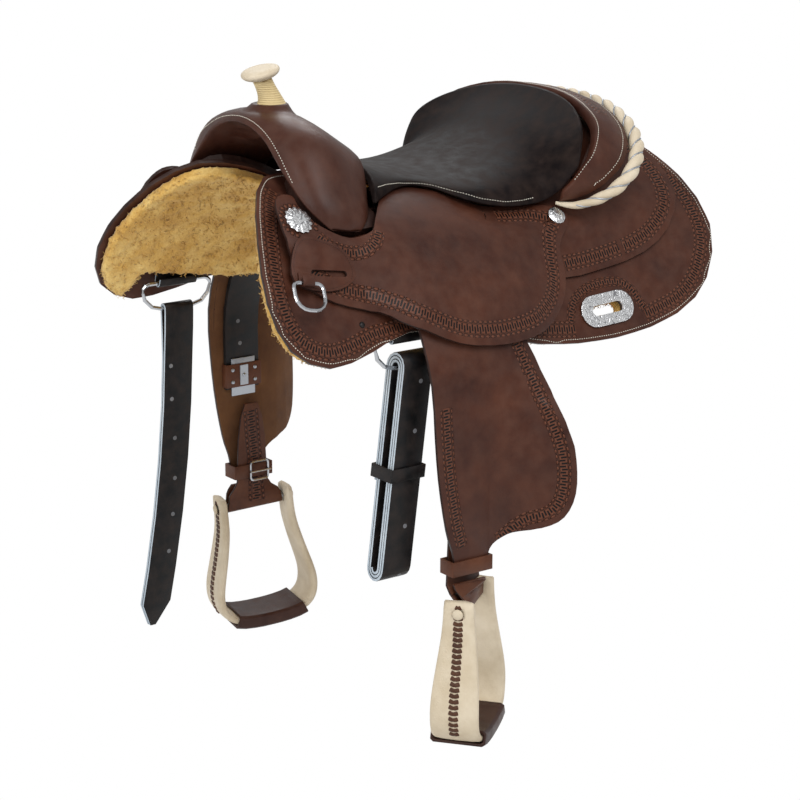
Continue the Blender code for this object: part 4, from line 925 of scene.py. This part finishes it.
def along_roll(share, lift, half=1.0):
    """A line on the cantle roll at a share of the way from its inner to its outer edge."""
    line = [a.lerp(b, share) + Vector((0, 0, lift)) for a, b in zip(rim_line, roll_line)]
    on_roll = [surfaces["cantle_roll"].find_nearest(p)[0] for p in line if abs(p.x) < half]
    return softened(even(on_roll), 8)


rim_line, roll_line = smooth_line(mirrored(RIM)), smooth_line(mirrored(ROLL))
seams = [along_roll(share, 4 * MM)[6:-6] for share in SEAM_SHARES]
stitches("cantle_roll_seams", "saddle", seams, surfaces["cantle_roll"], 4.0, 0.62)
border_on("cantle_roll", "cantle_patch", along_roll(0.5, 6 * MM, PATCH_HALF), PATCH_WIDTH)
print("cantle roll sewn")

# %% [markdown]
# The cantle's edge is bound with rawhide laid up like a rope: two thick plies turn round each other, with a
# thin silver cord in each groove. A tube whose radius swells twice round each section, turning as it goes,
# is that lay.

# %% Rope binding
ROPE = [(0, 496, 177), (55, 494, 175), (108, 491, 166), (154, 484, 147), (189, 467, 125), (213, 438, 102),
        (214, 410, 80), (204, 385, 66), (187, 362, 58), (166, 345, 60)]
ROPE_RADII = [9, 9.2, 9.6, 10, 10, 9.6, 8.6, 7, 5, 2.4]
ROPE_SAMPLES = 26
ROPE_SIDES = 28
PITCH = 54 * MM
LOBE_LOW, LOBE_RISE, LOBE_POWER = 0.56, 0.52, 0.6
PLAIN_RADIUS = 0.97
TWIST_END, TWIST_FADE = 0.93, 0.12
CORD_FROM, CORD_PLACE = 0.35, 0.74
CORD_RADIUS = 1.3 * MM


def turn_outward(mesh, welded=0):
    """Welds the first points of a mesh where they meet, and turns all its faces to one side."""
    bm = bmesh.new()
    bm.from_mesh(mesh)
    bmesh.ops.remove_doubles(bm, verts=bm.verts[:welded], dist=1e-7)
    bmesh.ops.recalc_face_normals(bm, faces=bm.faces)
    bm.to_mesh(mesh)
    bm.free()


centre = smooth_line(mirrored(ROPE), ROPE_SAMPLES)
radii = [v.x for v in smooth_line([(r, 0, 0) for r in ROPE_RADII[:0:-1] + ROPE_RADII], ROPE_SAMPLES)]
verts, cord_points, run = [], ([], []), 0.0
for i, (p, r) in enumerate(zip(centre, radii)):
    if i:
        run += (p - centre[i - 1]).length
    along = (centre[min(i + 1, len(centre) - 1)] - centre[max(i - 1, 0)]).normalized()
    first = along.cross(Vector((0, 1, 0))).normalized()
    second = along.cross(first)
    reach = abs(2 * i / (len(centre) - 1) - 1)
    twist = min(1.0, max(0.0, (TWIST_END - reach) / TWIST_FADE))
    turn = 2 * math.pi * run / PITCH
    for k in range(ROPE_SIDES):
        a = 2 * math.pi * k / ROPE_SIDES
        lobe = LOBE_LOW + LOBE_RISE * abs(math.sin(a - turn)) ** LOBE_POWER
        verts.append(p + on_circle(a, first, second) * r * (lobe * twist + PLAIN_RADIUS * (1 - twist)))
    if twist > CORD_FROM:
        cord_points[0].append(p + on_circle(turn, first, second) * r * CORD_PLACE)
        cord_points[1].append(p + on_circle(turn + math.pi, first, second) * r * CORD_PLACE)
last = len(verts) - ROPE_SIDES
ends = [tuple(range(ROPE_SIDES))[::-1], tuple(range(last, len(verts)))]
mesh = mesh_of("rope_lay", verts, rows_of_faces(0, len(centre), ROPE_SIDES) + ends)
turn_outward(mesh)
rope = new_piece("rope_lay", mesh, "saddle", rawhide)
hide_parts("rope_binding")
print("rope", len(verts), "points,", round(run / PITCH, 1), "turns")


# %% Silver cord in the rope's grooves
def tube(name, points, radius, body, finish):
    """A round cord through points."""
    data = bpy.data.curves.new(name, "CURVE")
    data.dimensions = "3D"
    data.bevel_depth = radius
    data.bevel_resolution = 2
    data.use_fill_caps = True
    spline = data.splines.new("POLY")
    spline.points.add(len(points) - 1)
    for spot, p in zip(spline.points, points):
        spot.co = (*p, 1)
    data.materials.append(finish)
    piece = bpy.data.objects.new(name, data)
    bpy.context.scene.collection.objects.link(piece)
    mesh = bpy.data.meshes.new_from_object(piece.evaluated_get(bpy.context.evaluated_depsgraph_get()))
    bpy.data.objects.remove(piece)
    for polygon in mesh.polygons:
        polygon.use_smooth = True
    return new_piece(name, mesh, body)


for which, points in enumerate(cord_points):
    tube(f"rope_silver_cord_{which}", points, CORD_RADIUS, "saddle", dull_steel)
print("cords", [len(points) for points in cord_points], "points")

# %% [markdown]
# The seat is a thin pad under dark, tightly drawn hide. It is drawn so tight that cloth under pressure
# would only blow it up, so a subdivided copy of the solid keeps its line, and a white seam runs along its
# edge.

# %% Padded seat and swell
SEAT_EDGE_PIXELS = [(378, 187), (388, 184), (400, 182.5), (415, 182.5), (431, 184.5), (454, 191.5),
                    (480, 199), (505, 202.5), (524, 200.5), (534, 197.5)]


def rounded_copy(name, finish, levels, crease, angle=50):
    """A subdivided copy of a solid whose edges sharper than an angle stay as crisp as their crease."""
    bm = merged(name)
    creases = bm.edges.layers.float.new("crease_edge")
    for e in bm.edges:
        if len(e.link_faces) == 2 and e.calc_face_angle(0) > math.radians(angle):
            e[creases] = crease
    bmesh.ops.join_triangles(bm, faces=bm.faces, angle_face_threshold=0.6, angle_shape_threshold=3.1)
    piece = new_piece(name + "_soft", mesh_of_bmesh(name + "_soft", bm), body_of(name), finish)
    smooth = piece.modifiers.new("smooth_skin", "SUBSURF")
    smooth.levels = smooth.render_levels = levels
    settle(piece)
    for p in piece.data.polygons:
        p.use_smooth = True
    keep_surface(name, piece)
    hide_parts(name)
    return piece


seat = rounded_copy("padded_seat", seat_hide, 2, 0.75)
seat_edge = on_surface("padded_seat", SEAT_EDGE_PIXELS)
seat_edges = [for_side(seat_edge, hand) for side, hand in SIDES]
stitches("seat_seam", "saddle", seat_edges, surfaces["padded_seat"], 3.8)
swell = rounded_copy("fork_cover", polished, 1, 0.8)
print("seat and swell", len(seat.data.polygons), len(swell.data.polygons))

# %% [markdown]
# The horn is wrapped in wet rawhide that shrinks as it dries. The wrap shows as low turns round the neck,
# and the cap is one smooth skin. A wave texture that follows the turns gives that relief without any more
# faces.

# %% Horn wrap
WRAP_SCALE = 110.0
WRAP_DEPTH = 0.5 * MM
GROOVE_TONE = (206, 178, 128)


def wrapped(name, base):
    """Rawhide with the low ridges of its wrapping, and a slightly darker tone in the grooves between them."""
    m = base.copy()
    m.name = name
    tree = m.node_tree
    principled = tree.nodes["Principled BSDF"]
    place = node(tree, "ShaderNodeTexCoord").outputs["Object"]
    links = [("Vector", place), ("Scale", WRAP_SCALE), ("Distortion", 0.6), ("Detail", 1.0)]
    turns = node(tree, "ShaderNodeTexWave", links, wave_type="BANDS", bands_direction="Z").outputs["Fac"]
    bumped(tree, principled, turns, WRAP_DEPTH)
    skin = principled.inputs["Base Color"].links[0].from_socket
    # The grooves between the turns take a slightly darker tone.
    groove = ranged(tree, turns, (0.0, 0.12))
    tree.links.new(mixed(tree, groove, rgb(*GROOVE_TONE), skin), principled.inputs["Base Color"])
    return m


rounded_copy("horn_neck", wrapped("horn_neck_wrap", horn_hide), 1, 0.5)
rounded_copy("horn_cap", rawhide, 2, 0.3)
print("horn wrapped")

# %% [markdown]
# The cover of the swell is drawn up as a small cone round the horn's foot. A ring of points is dropped on
# the cover and rises towards the neck, so the cone grows out of the leather without an edge.

# %% Cone at the horn's foot
HORN_CONE = ((38, 0), (34, 0.06), (30, 0.25), (26.5, 0.6), (24.2, 0.9), (22.4, 1.0), (16.5, 0.9))
HORN_CONE_SIDES = 64
HORN_CONE_TOP = 2.4 * MM
HORN_CONE_TUCK = 0.25 * MM


def horn_skirt():
    """The swell's cover drawn up as a cone round the foot of the horn."""
    neck_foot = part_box("horn_neck")[0][2]
    foot = Vector((0, -2 * MM, neck_foot))
    verts = []
    for reach, rise in HORN_CONE:
        for k in range(HORN_CONE_SIDES):
            a = 2 * math.pi * k / HORN_CONE_SIDES
            spot = foot + on_circle(a, Vector((1, 0, 0)), Vector((0, 1, 0))) * reach * MM
            ground = surfaces["fork_cover"].ray_cast(spot + Vector((0, 0, 30 * MM)), Vector((0, 0, -1)))[0]
            base = (ground.z if ground is not None else neck_foot - 4 * MM) - HORN_CONE_TUCK
            verts.append((spot.x, spot.y, base + (neck_foot + HORN_CONE_TOP - base) * rise))
    mesh = mesh_of("horn_skirt", verts, rows_of_faces(0, len(HORN_CONE), HORN_CONE_SIDES))
    return new_piece("horn_skirt", mesh, "saddle", polished)


cone = horn_skirt()
print("cone at the horn's foot", len(cone.data.vertices), "points")

# %% [markdown]
# Conchos are pressed silver: petals run out from a raised button to a scalloped or plain rim. A disc made
# of rings and spokes can take that relief directly, so its highlights break up from every side.

# %% Conchos and slot plates
CONCHO_RINGS = 26
SPOKES_PER_PETAL = 12
RIM_RISE, PETAL_RISE, BUTTON_RISE, BEAD_RISE = 0.9 * MM, 0.34 * MM, 0.5 * MM, 0.35 * MM
DOME_POWER = 2.4
BUTTON_END, PETAL_START, PETAL_LENGTH = 0.25, 0.3, 0.6
BEADS_FROM, BEADS_TO = 0.86, 0.96


def concho_height(t, angle, petals, rise):
    """The height of a concho at a share t of its radius and an angle round it."""
    dome = rise * (1 - t ** DOME_POWER) + RIM_RISE
    along_petal = math.sin(math.pi * min(1, max(0, (t - PETAL_START) / PETAL_LENGTH)))
    petal = PETAL_RISE * abs(math.cos(petals * angle / 2)) ** 0.5 * along_petal
    button = BUTTON_RISE * math.cos(math.pi * t / (2 * BUTTON_END)) if t < BUTTON_END else 0.0
    beads = BEAD_RISE * max(0.0, math.cos(2 * petals * angle)) if BEADS_FROM < t < BEADS_TO else 0.0
    return dome + petal + button + beads


def concho(name, radius, petals, scallop, rise):
    """A pressed disc with petals, a button and a beaded rim, which stands for a plain one."""
    mesh = nodes[name].data
    middle = sum((v.co for v in mesh.vertices), Vector()) / len(mesh.vertices)
    facing = Vector()
    for p in mesh.polygons:
        if p.normal.dot(outward(middle)) > 0.5:
            facing += p.normal * p.area
    facing.normalize()
    across = facing.cross(Vector((0, 0, 1))).normalized()
    upright = facing.cross(across)
    origin = middle + facing * min((v.co - middle).dot(facing) for v in mesh.vertices)
    spokes = petals * SPOKES_PER_PETAL
    verts = []
    for j in range(CONCHO_RINGS + 1):
        t = j / CONCHO_RINGS
        for i in range(spokes):
            a = 2 * math.pi * i / spokes
            edge = radius * (1 + scallop * math.cos(petals * a))
            height = concho_height(t, a, petals, rise)
            verts.append(origin + on_circle(a, across, upright) * edge * t + facing * height)
    verts += [v - facing * RIM_RISE for v in verts[-spokes:]]
    mesh = mesh_of(name + "_pressed", verts, rows_of_faces(0, CONCHO_RINGS + 2, spokes))
    turn_outward(mesh, spokes)
    if sum(p.normal.dot(facing) * p.area for p in mesh.polygons) < 0:
        mesh.flip_normals()
    piece = new_piece(name + "_pressed", mesh, "saddle", engraved)
    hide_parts(name)


for side, hand in SIDES:
    concho(f"{side}_front_concho", 18.8 * MM, 14, 0.045, 3.4 * MM)
    concho(f"{side}_rear_concho", 12.6 * MM, 12, 0.0, 2.6 * MM)
    dressed(f"{side}_rear_slot_plate", engraved, bevel=0.7, steps=3)
print("conchos pressed")

# %% [markdown]
# The straps are dyed black on their faces, but their edges were cut after dyeing and show pale, blue-white
# leather. The walls of each strap face forwards or backwards, so the direction of a facet picks its finish.

# %% Straps and chapes
def strap_wall(f):
    """True on the cut edge of a strap, not on its two faces."""
    return abs(f.normal.y) > 0.9


for name in ("latigo", "off_billet"):
    dressed(name, strap_hide, cut_edge, bevel=0.5, wall=strap_wall, limit=60)
dressed("latigo_loop", strap_hide, bevel=0.6)
for side, hand in SIDES:
    dressed(f"{side}_stirrup_leather", strap_hide, strap_hide, bevel=0.4, wall=strap_wall, limit=60)
    dressed(f"{side}_rigging_leather", strap_hide, cut_edge, bevel=0.4, wall=strap_wall, limit=60)
    dressed(f"{side}_hobble_strap", warm, bevel=0.7)
    dressed(f"{side}_breast_dee_chape", brown, bevel=0.6)
print("straps dressed")

# %% [markdown]
# A punch leaves a small round hole with a raised rim. Cutting it out of a thin strap would spoil the
# strap's mesh, so a low disc with that rim is laid on it, in the grey that the photograph shows there.

# %% Strap holes
HOLE_PIXELS = {
    "right_stirrup_leather": [(238, 321), (240, 343)],
    "latigo": [(421, 381), (415, 431), (405, 477), (405, 526), (399, 575)],
    "off_billet": [(171, 366), (172, 399), (175, 438), (175, 478), (173, 514), (169, 551)],
}
HOLE_RADIUS = 2.3 * MM
HOLE_SHARES = ((1.35, 0.02), (1.1, 0.28), (0.85, 0.1), (0, 0.06))
HOLE_PROFILE = [(HOLE_RADIUS * share, rise * MM) for share, rise in HOLE_SHARES]


def round_pieces(label, body, spots, profile, finish, sides=16, smooth=True):
    """Small round pieces on spots with a normal, all turned from one profile of radii and heights."""
    verts, faces = [], []
    for spot, normal in spots:
        across = normal.cross(Vector((0.3, 1, 0.2))).normalized()
        upright = normal.cross(across)
        faces += rows_of_faces(len(verts), len(profile), sides)
        for radius, rise in profile:
            for k in range(sides):
                away = on_circle(2 * math.pi * k / sides, across, upright) * radius
                verts.append(spot + away + normal * rise)
    return new_piece(label, mesh_of(label, verts, faces, smooth), body, finish)


hole_grey = leather("punched_hole", (92, 94, 98), (136, 138, 142), 0.8)
for name, pixels in HOLE_PIXELS.items():
    hits = [surfaces[name].ray_cast(EYE, ray_of_pixel(x, y))[:2] for x, y in pixels]
    spots = [(spot, normal) for spot, normal in hits if spot is not None]
    round_pieces(f"{name}_holes", body_of(name), spots, HOLE_PROFILE, hole_grey, 14, smooth=False)
    print(name, len(spots), "holes")

# %% [markdown]
# The dees, the hobble buckles and their tongues are plain steel bar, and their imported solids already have
# the right shape. A solid that is right keeps its mesh and only gets a better finish. The same goes for the
# tree and the ground seat, which show as brown leather in the gaps, while the length buckles get rounded
# copies.

# %% Steel fittings, the tree and its covers
PLAIN = {"breast_dee": steel, "rigging_dee": steel, "hobble_buckle": steel, "buckle_tongue": steel,
         "tree_bar": burnished}


def finish_solid(name, finish):
    """Every material slot of a kept solid takes one finish."""
    solid = nodes[name]
    for slot in solid.material_slots:
        slot.link = "OBJECT"
        slot.material = finish
    if not solid.material_slots:
        solid.data.materials.append(finish)


for side, hand in SIDES:
    for part, finish in PLAIN.items():
        finish_solid(f"{side}_{part}", finish)
    dressed(f"{side}_length_buckle_sleeve", warm, bevel=0.8)
    dressed(f"{side}_length_buckle_plate", dull_steel, bevel=0.4)
finish_solid("fork", brown)
finish_solid("ground_seat", brown)
print("steel fitted")

# %% [markdown]
# A spring plate lies down the middle of each length buckle's pad. Rivets hold it, the pad and the skirt,
# and each is a low domed head that sits on its surface.

# %% Spring plates and rivets
LATCH_HALF, LATCH_HEIGHT, LATCH_THICK, LATCH_TUCK = 7 * MM, 15 * MM, 1.2 * MM, -0.2 * MM
RIVET_PROFILE = ((1.0, -0.1), (1.0, 0.2), (0.8, 0.48), (0.45, 0.62), (0.0, 0.66))
PAD_RIVET, SKIRT_RIVET = 2.9 * MM, 4.0 * MM
PAD_RIVET_PLACES = [(y * MM, z * MM) for y in (-19, 19) for z in (-9, 9)]
SKIRT_RIVET_PIXEL = (362, 325)


def rivets(label, body, spots, radius, finish):
    """Domed heads on spots with an outward normal."""
    profile = [(radius * share, radius * rise) for share, rise in RIVET_PROFILE]
    return round_pieces(label, body, spots, profile, finish)


def latch(side, hand, inner, middle):
    """The spring plate down the middle of the length buckle's pad, with rounded edges."""
    bm = bmesh.new()
    corners = [bm.verts.new((inner - hand * x, middle.y + y * LATCH_HALF, middle.z + z * LATCH_HEIGHT))
               for x in (LATCH_TUCK, LATCH_THICK) for y, z in ((-1, -1), (1, -1), (1, 1), (-1, 1))]
    for loop in ((0, 1, 2, 3), (4, 5, 6, 7), (0, 1, 5, 4), (1, 2, 6, 5), (2, 3, 7, 6), (3, 0, 4, 7)):
        bm.faces.new([corners[i] for i in loop])
    bmesh.ops.bevel(bm, geom=bm.edges[:], offset=0.5 * MM, segments=2, affect="EDGES")
    bmesh.ops.recalc_face_normals(bm, faces=bm.faces)
    return new_piece(f"{side}_latch", mesh_of_bmesh(f"{side}_latch", bm), f"{side}_sleeve", dull_steel)


near_rivet = surfaces["left_skirt"].ray_cast(EYE, ray_of_pixel(*SKIRT_RIVET_PIXEL))[0]
for side, hand in SIDES:
    pad_low, pad_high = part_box(f"{side}_length_buckle_sleeve")
    inner = min(pad_low[0], pad_high[0], key=abs)
    middle = middle_of(f"{side}_length_buckle_sleeve")
    latch(side, hand, inner, middle)
    heads = [Vector((inner, middle.y + y, middle.z + z)) for y, z in PAD_RIVET_PLACES]
    heads.append(Vector((inner - hand * LATCH_THICK, middle.y, middle.z)))
    pad_spots = [(spot, Vector((-hand, 0, 0))) for spot in heads]
    rivets(f"{side}_pad_rivets", f"{side}_sleeve", pad_spots, PAD_RIVET, dull_steel)
    spot, normal = surfaces[f"{side}_skirt"].find_nearest(for_side([near_rivet], hand)[0])[:2]
    rivets(f"{side}_skirt_rivet", "saddle", [(spot, facing_out(normal, spot))], SKIRT_RIVET, dark_iron)
print("rivets set")

# %% [markdown]
# The swell's cover is closed along its front edge with one row of white stitches, whose line is read off
# the photograph like those of the borders.

# %% Seam of the swell
SWELL_SEAM_PIXELS = [(195, 150), (199, 136), (207.6, 125.7), (218, 118.5), (232, 115.5), (246, 118),
                     (258, 125.7), (269, 138), (278, 153), (286, 170), (293, 184)]
swell_edge = on_surface("fork_cover", SWELL_SEAM_PIXELS)
stitches("swell_seam", "saddle", [swell_edge], surfaces["fork_cover"], 4.0)

# %% [markdown]
# The fender's tongue passes round the stirrup bolt and ends in a stamped border. It spreads over the bolt
# until it nearly fills the space between the legs, so the points of its copy move outwards along the bolt,
# and further the lower they are.

# %% Fender tongues
STIRRUP_TURN = {"left": math.radians(38), "right": math.radians(12)}
STIRRUP_LEAN = {"left": 0.0, "right": math.radians(5)}
BOLT = Vector((0.2633, 0.128, -0.430))
SPREAD_TOP, SPREAD_LENGTH, SPREAD = -0.396, 18 * MM, 0.31
TONGUE_PIXELS = [(250.5, 410), (252, 430), (254, 450), (255, 465), (256, 480), (257, 500)]


def stirrup_axes(side, hand):
    """Directions of a stirrup: along its bolt, away from the horse, and up; and the middle of its bolt."""
    turn, lean = STIRRUP_TURN[side], STIRRUP_LEAN[side]
    level = Vector((-hand * math.sin(turn), math.cos(turn), 0))
    along = on_circle(lean, level, Vector((0, 0, 1)))
    out = Vector((hand * math.cos(turn), math.sin(turn), 0))
    up_leg = along.cross(out)
    return along, out, up_leg if up_leg.z > 0 else -up_leg, Vector((hand * BOLT.x, BOLT.y, BOLT.z))


def widened_tongue(side, hand):
    """A fender's tongue, spread over the stirrup bolt."""
    name = f"{side}_fender_tongue"
    tongue = dressed(name, warm, burnished, bevel=0.7, wall=lambda f: abs(f.normal.y) > 0.8, limit=50)
    along, _, _, hub = stirrup_axes(side, hand)
    for v in tongue.data.vertices:
        share = min(1.0, max(0.0, (SPREAD_TOP - v.co.z) / SPREAD_LENGTH))
        v.co += along * ((v.co - hub).dot(along) * SPREAD * share * share * (3 - 2 * share))
    keep_surface(name, tongue)


for side, hand in SIDES:
    widened_tongue(side, hand)
tongue_line = on_surface("right_fender_tongue", TONGUE_PIXELS)
print("tongue border", len(tongue_line), "points")

# %% [markdown]
# A bell stirrup is bent wood under shrunk rawhide. The rawhide meets in a seam down the outer face of each
# leg, and a flat brown lace draws that seam shut with one chevron after another. The tread is wrapped in
# plain brown leather, and the fender's tongue carries its border down between the legs.

# %% Stirrups
STIRRUP_SIDE = [(52, 16), (52, -20), (55, -46), (64, -85), (72, -116), (74, -138), (69, -158)]
TONGUE_BORDER = 26 * MM
BOLT_SHANK = 58.8 * MM
LACE_PITCH = 7.3 * MM
LACE_REACH, TOP_LACE_REACH = 6.6 * MM, 4.0 * MM
LACE_RISE, LACE_DIP, LACE_CROSS = 1.3 * MM, 1.2 * MM, 0.9 * MM
LACE_HALF, LACE_EDGE = 2.9 * MM, 0.7 * MM
LACE_PROFILE = ((0, -0.5, 0.75), (0.12, 1.0, 1), (0.5, 1.5, 1), (0.85, 1.1, 0.9), (1, 0.2, 0.7))


def chevron(verts, faces, middle, across, down, normal, reach):
    """One turn of flat lace: two slanted arms that cross in a dip on the seam."""
    for way in (1, -1):
        a = middle + across * way * reach - down * LACE_RISE
        b = middle - across * way * LACE_CROSS + down * LACE_DIP
        side_way = normal.cross(b - a).normalized() * LACE_HALF
        faces += rows_of_faces(len(verts), len(LACE_PROFILE), 4, closed=False)
        for t, rise, wide in LACE_PROFILE:
            spot = a.lerp(b, t) + normal * rise * MM
            edge, under = side_way * wide, normal * LACE_EDGE
            verts += [spot + edge - under, spot + edge * 0.6, spot - edge * 0.6, spot - edge - under]


def tongue_border(side, hand):
    """The stamped border down the inner face of a fender's tongue."""
    line = for_side(tongue_line, -hand)
    border_on(f"{side}_fender_tongue", f"{side}_tongue", line, TONGUE_BORDER, -BORDER_LIFT)


def laced(side, hand):
    """The lace down both legs of a stirrup, one chevron every few millimetres."""
    along, out, up_leg, hub = stirrup_axes(side, hand)
    frame_surface = surfaces[f"{side}_stirrup_frame"]
    line = even(smooth_line([(u, 0, w) for u, w in STIRRUP_SIDE], 10), LACE_PITCH)
    verts, faces = [], []
    for forward in (along, -along):
        for i, p in enumerate(line[1:], 1):
            course = (line[min(i + 1, len(line) - 1)] - line[i - 1]).normalized()
            down = forward * course.x + up_leg * course.z
            normal = up_leg * course.x - forward * course.z
            centre = hub + forward * p.x + up_leg * p.z
            spot = frame_surface.ray_cast(centre + normal * 30 * MM, -normal)[0]
            if spot is not None:
                chevron(verts, faces, spot, out, down, normal, TOP_LACE_REACH if i < 2 else LACE_REACH)
    mesh = mesh_of(f"{side}_stirrup_lacing", verts, faces)
    return new_piece(f"{side}_stirrup_lacing", mesh, f"{side}_stirrup", lace_hide)


for side, hand in SIDES:
    tongue_border(side, hand)
    rounded_copy(f"{side}_stirrup_frame", rawhide, 1, 0.3, 60)
    dressed(f"{side}_stirrup_tread", tread_hide, bevel=1.2, limit=30, steps=3)
    along, _, _, hub = stirrup_axes(side, hand)
    dressed(f"{side}_stirrup_bolt", dull_steel, rawhide, bevel=1.0, limit=50,
            wall=lambda f: abs((f.calc_center_median() - hub).dot(along)) > BOLT_SHANK)
    lacing = laced(side, hand)
    print(side, "stirrup lace", len(lacing.data.polygons), "faces")

# %% [markdown]
# The fleece under the skirts is clipped sheepskin: matted golden curls, denser where the skirt presses
# them. The solid is rebuilt at 4 mm, roughened with noise, and several thousand curled locks stand out of
# its free faces. The faces that lie under the skirts are pressed in by a millimetre or two, so no wool
# comes through the leather.

# %% Fleece
LOCKS = 5200
FLEECE_GRID = 4 * MM
CLUMP_SCALE, CURL_SCALE = 90, 210
EDGE_ROOM = 6 * MM
PRESSED_RISE, PRESSED_CLUMP = -1.4, 0.4
FREE_RISE, FREE_CLUMP = 0.6, 2.2
picker = np.random.default_rng(11)


def matted(side):
    """The fleece with a matted surface; returns its first points, their normals and which are free."""
    name = f"{side}_fleece"
    piece = new_piece(name + "_wool", mesh_of_bmesh(name + "_wool", merged(name)), "saddle", wool)
    rebuilt = piece.modifiers.new("even_grid", "REMESH")
    rebuilt.mode = "VOXEL"
    rebuilt.voxel_size = FLEECE_GRID
    settle(piece)
    places = [v.co.copy() for v in piece.data.vertices]
    normals = [v.normal.copy() for v in piece.data.vertices]
    free = []
    for i, (p, n) in enumerate(zip(places, normals)):
        covered = n.dot(outward(p)) > 0.25
        clump = noise.noise(p * CLUMP_SCALE) + 0.6 * noise.noise(p * CURL_SCALE)
        lift = PRESSED_RISE + PRESSED_CLUMP * clump if covered else FREE_RISE + FREE_CLUMP * clump
        piece.data.vertices[i].co = p + n * lift * MM
        if not covered and abs(p.x) > EDGE_ROOM:
            free.append(i)
    for p in piece.data.polygons:
        p.use_smooth = True
    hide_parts(name)
    return places, normals, free


print("fleece rebuilt every", FLEECE_GRID, "m, locks on each side:", LOCKS)


# %% Locks of wool
LOCK_POINTS, LOCK_SIDES = 6, 3
LOCK_ROOT, LOCK_SLOPE, LOCK_CURL, LOCK_TAPER = 0.12, 0.55, 1.7 * MM, 0.75


def curled_lock(verts, faces, p, n):
    """One lock of wool: a thin tapered tube that rises out of the fleece, leans over and curls."""
    lean = Vector(picker.normal(size=3)).cross(n).normalized()
    bend = n.cross(lean)
    long = picker.uniform(5, 10) * MM
    thick = picker.uniform(0.7, 1.3) * MM
    turns = picker.uniform(0.5, 1.1) * 2 * math.pi
    faces += rows_of_faces(len(verts), LOCK_POINTS, LOCK_SIDES)
    for k in range(LOCK_POINTS):
        t = k / (LOCK_POINTS - 1)
        curl = (lean * math.sin(turns * t) + bend * (1 - math.cos(turns * t))) * LOCK_CURL
        spot = p + n * long * (LOCK_SLOPE * t - LOCK_ROOT) + lean * long * LOCK_SLOPE * t + curl
        for c in range(LOCK_SIDES):
            a = 2 * math.pi * c / LOCK_SIDES + t
            away = on_circle(a, lean, bend) + n * 0.4 * math.sin(a)
            verts.append(spot + away * thick * (1 - LOCK_TAPER * t))


for side, hand in SIDES:
    places, normals, free = matted(side)
    verts, faces = [], []
    for i in picker.choice(free, LOCKS, replace=False):
        curled_lock(verts, faces, places[i], normals[i])
    new_piece(f"{side}_wool_locks", mesh_of(f"{side}_locks", verts, faces), "saddle", wool)
    print(side, "fleece", len(places), "points", len(free), "free")

# %% [markdown]
# The last cell brings the scene up to date.

# %% Update the scene
bpy.context.view_layer.update()
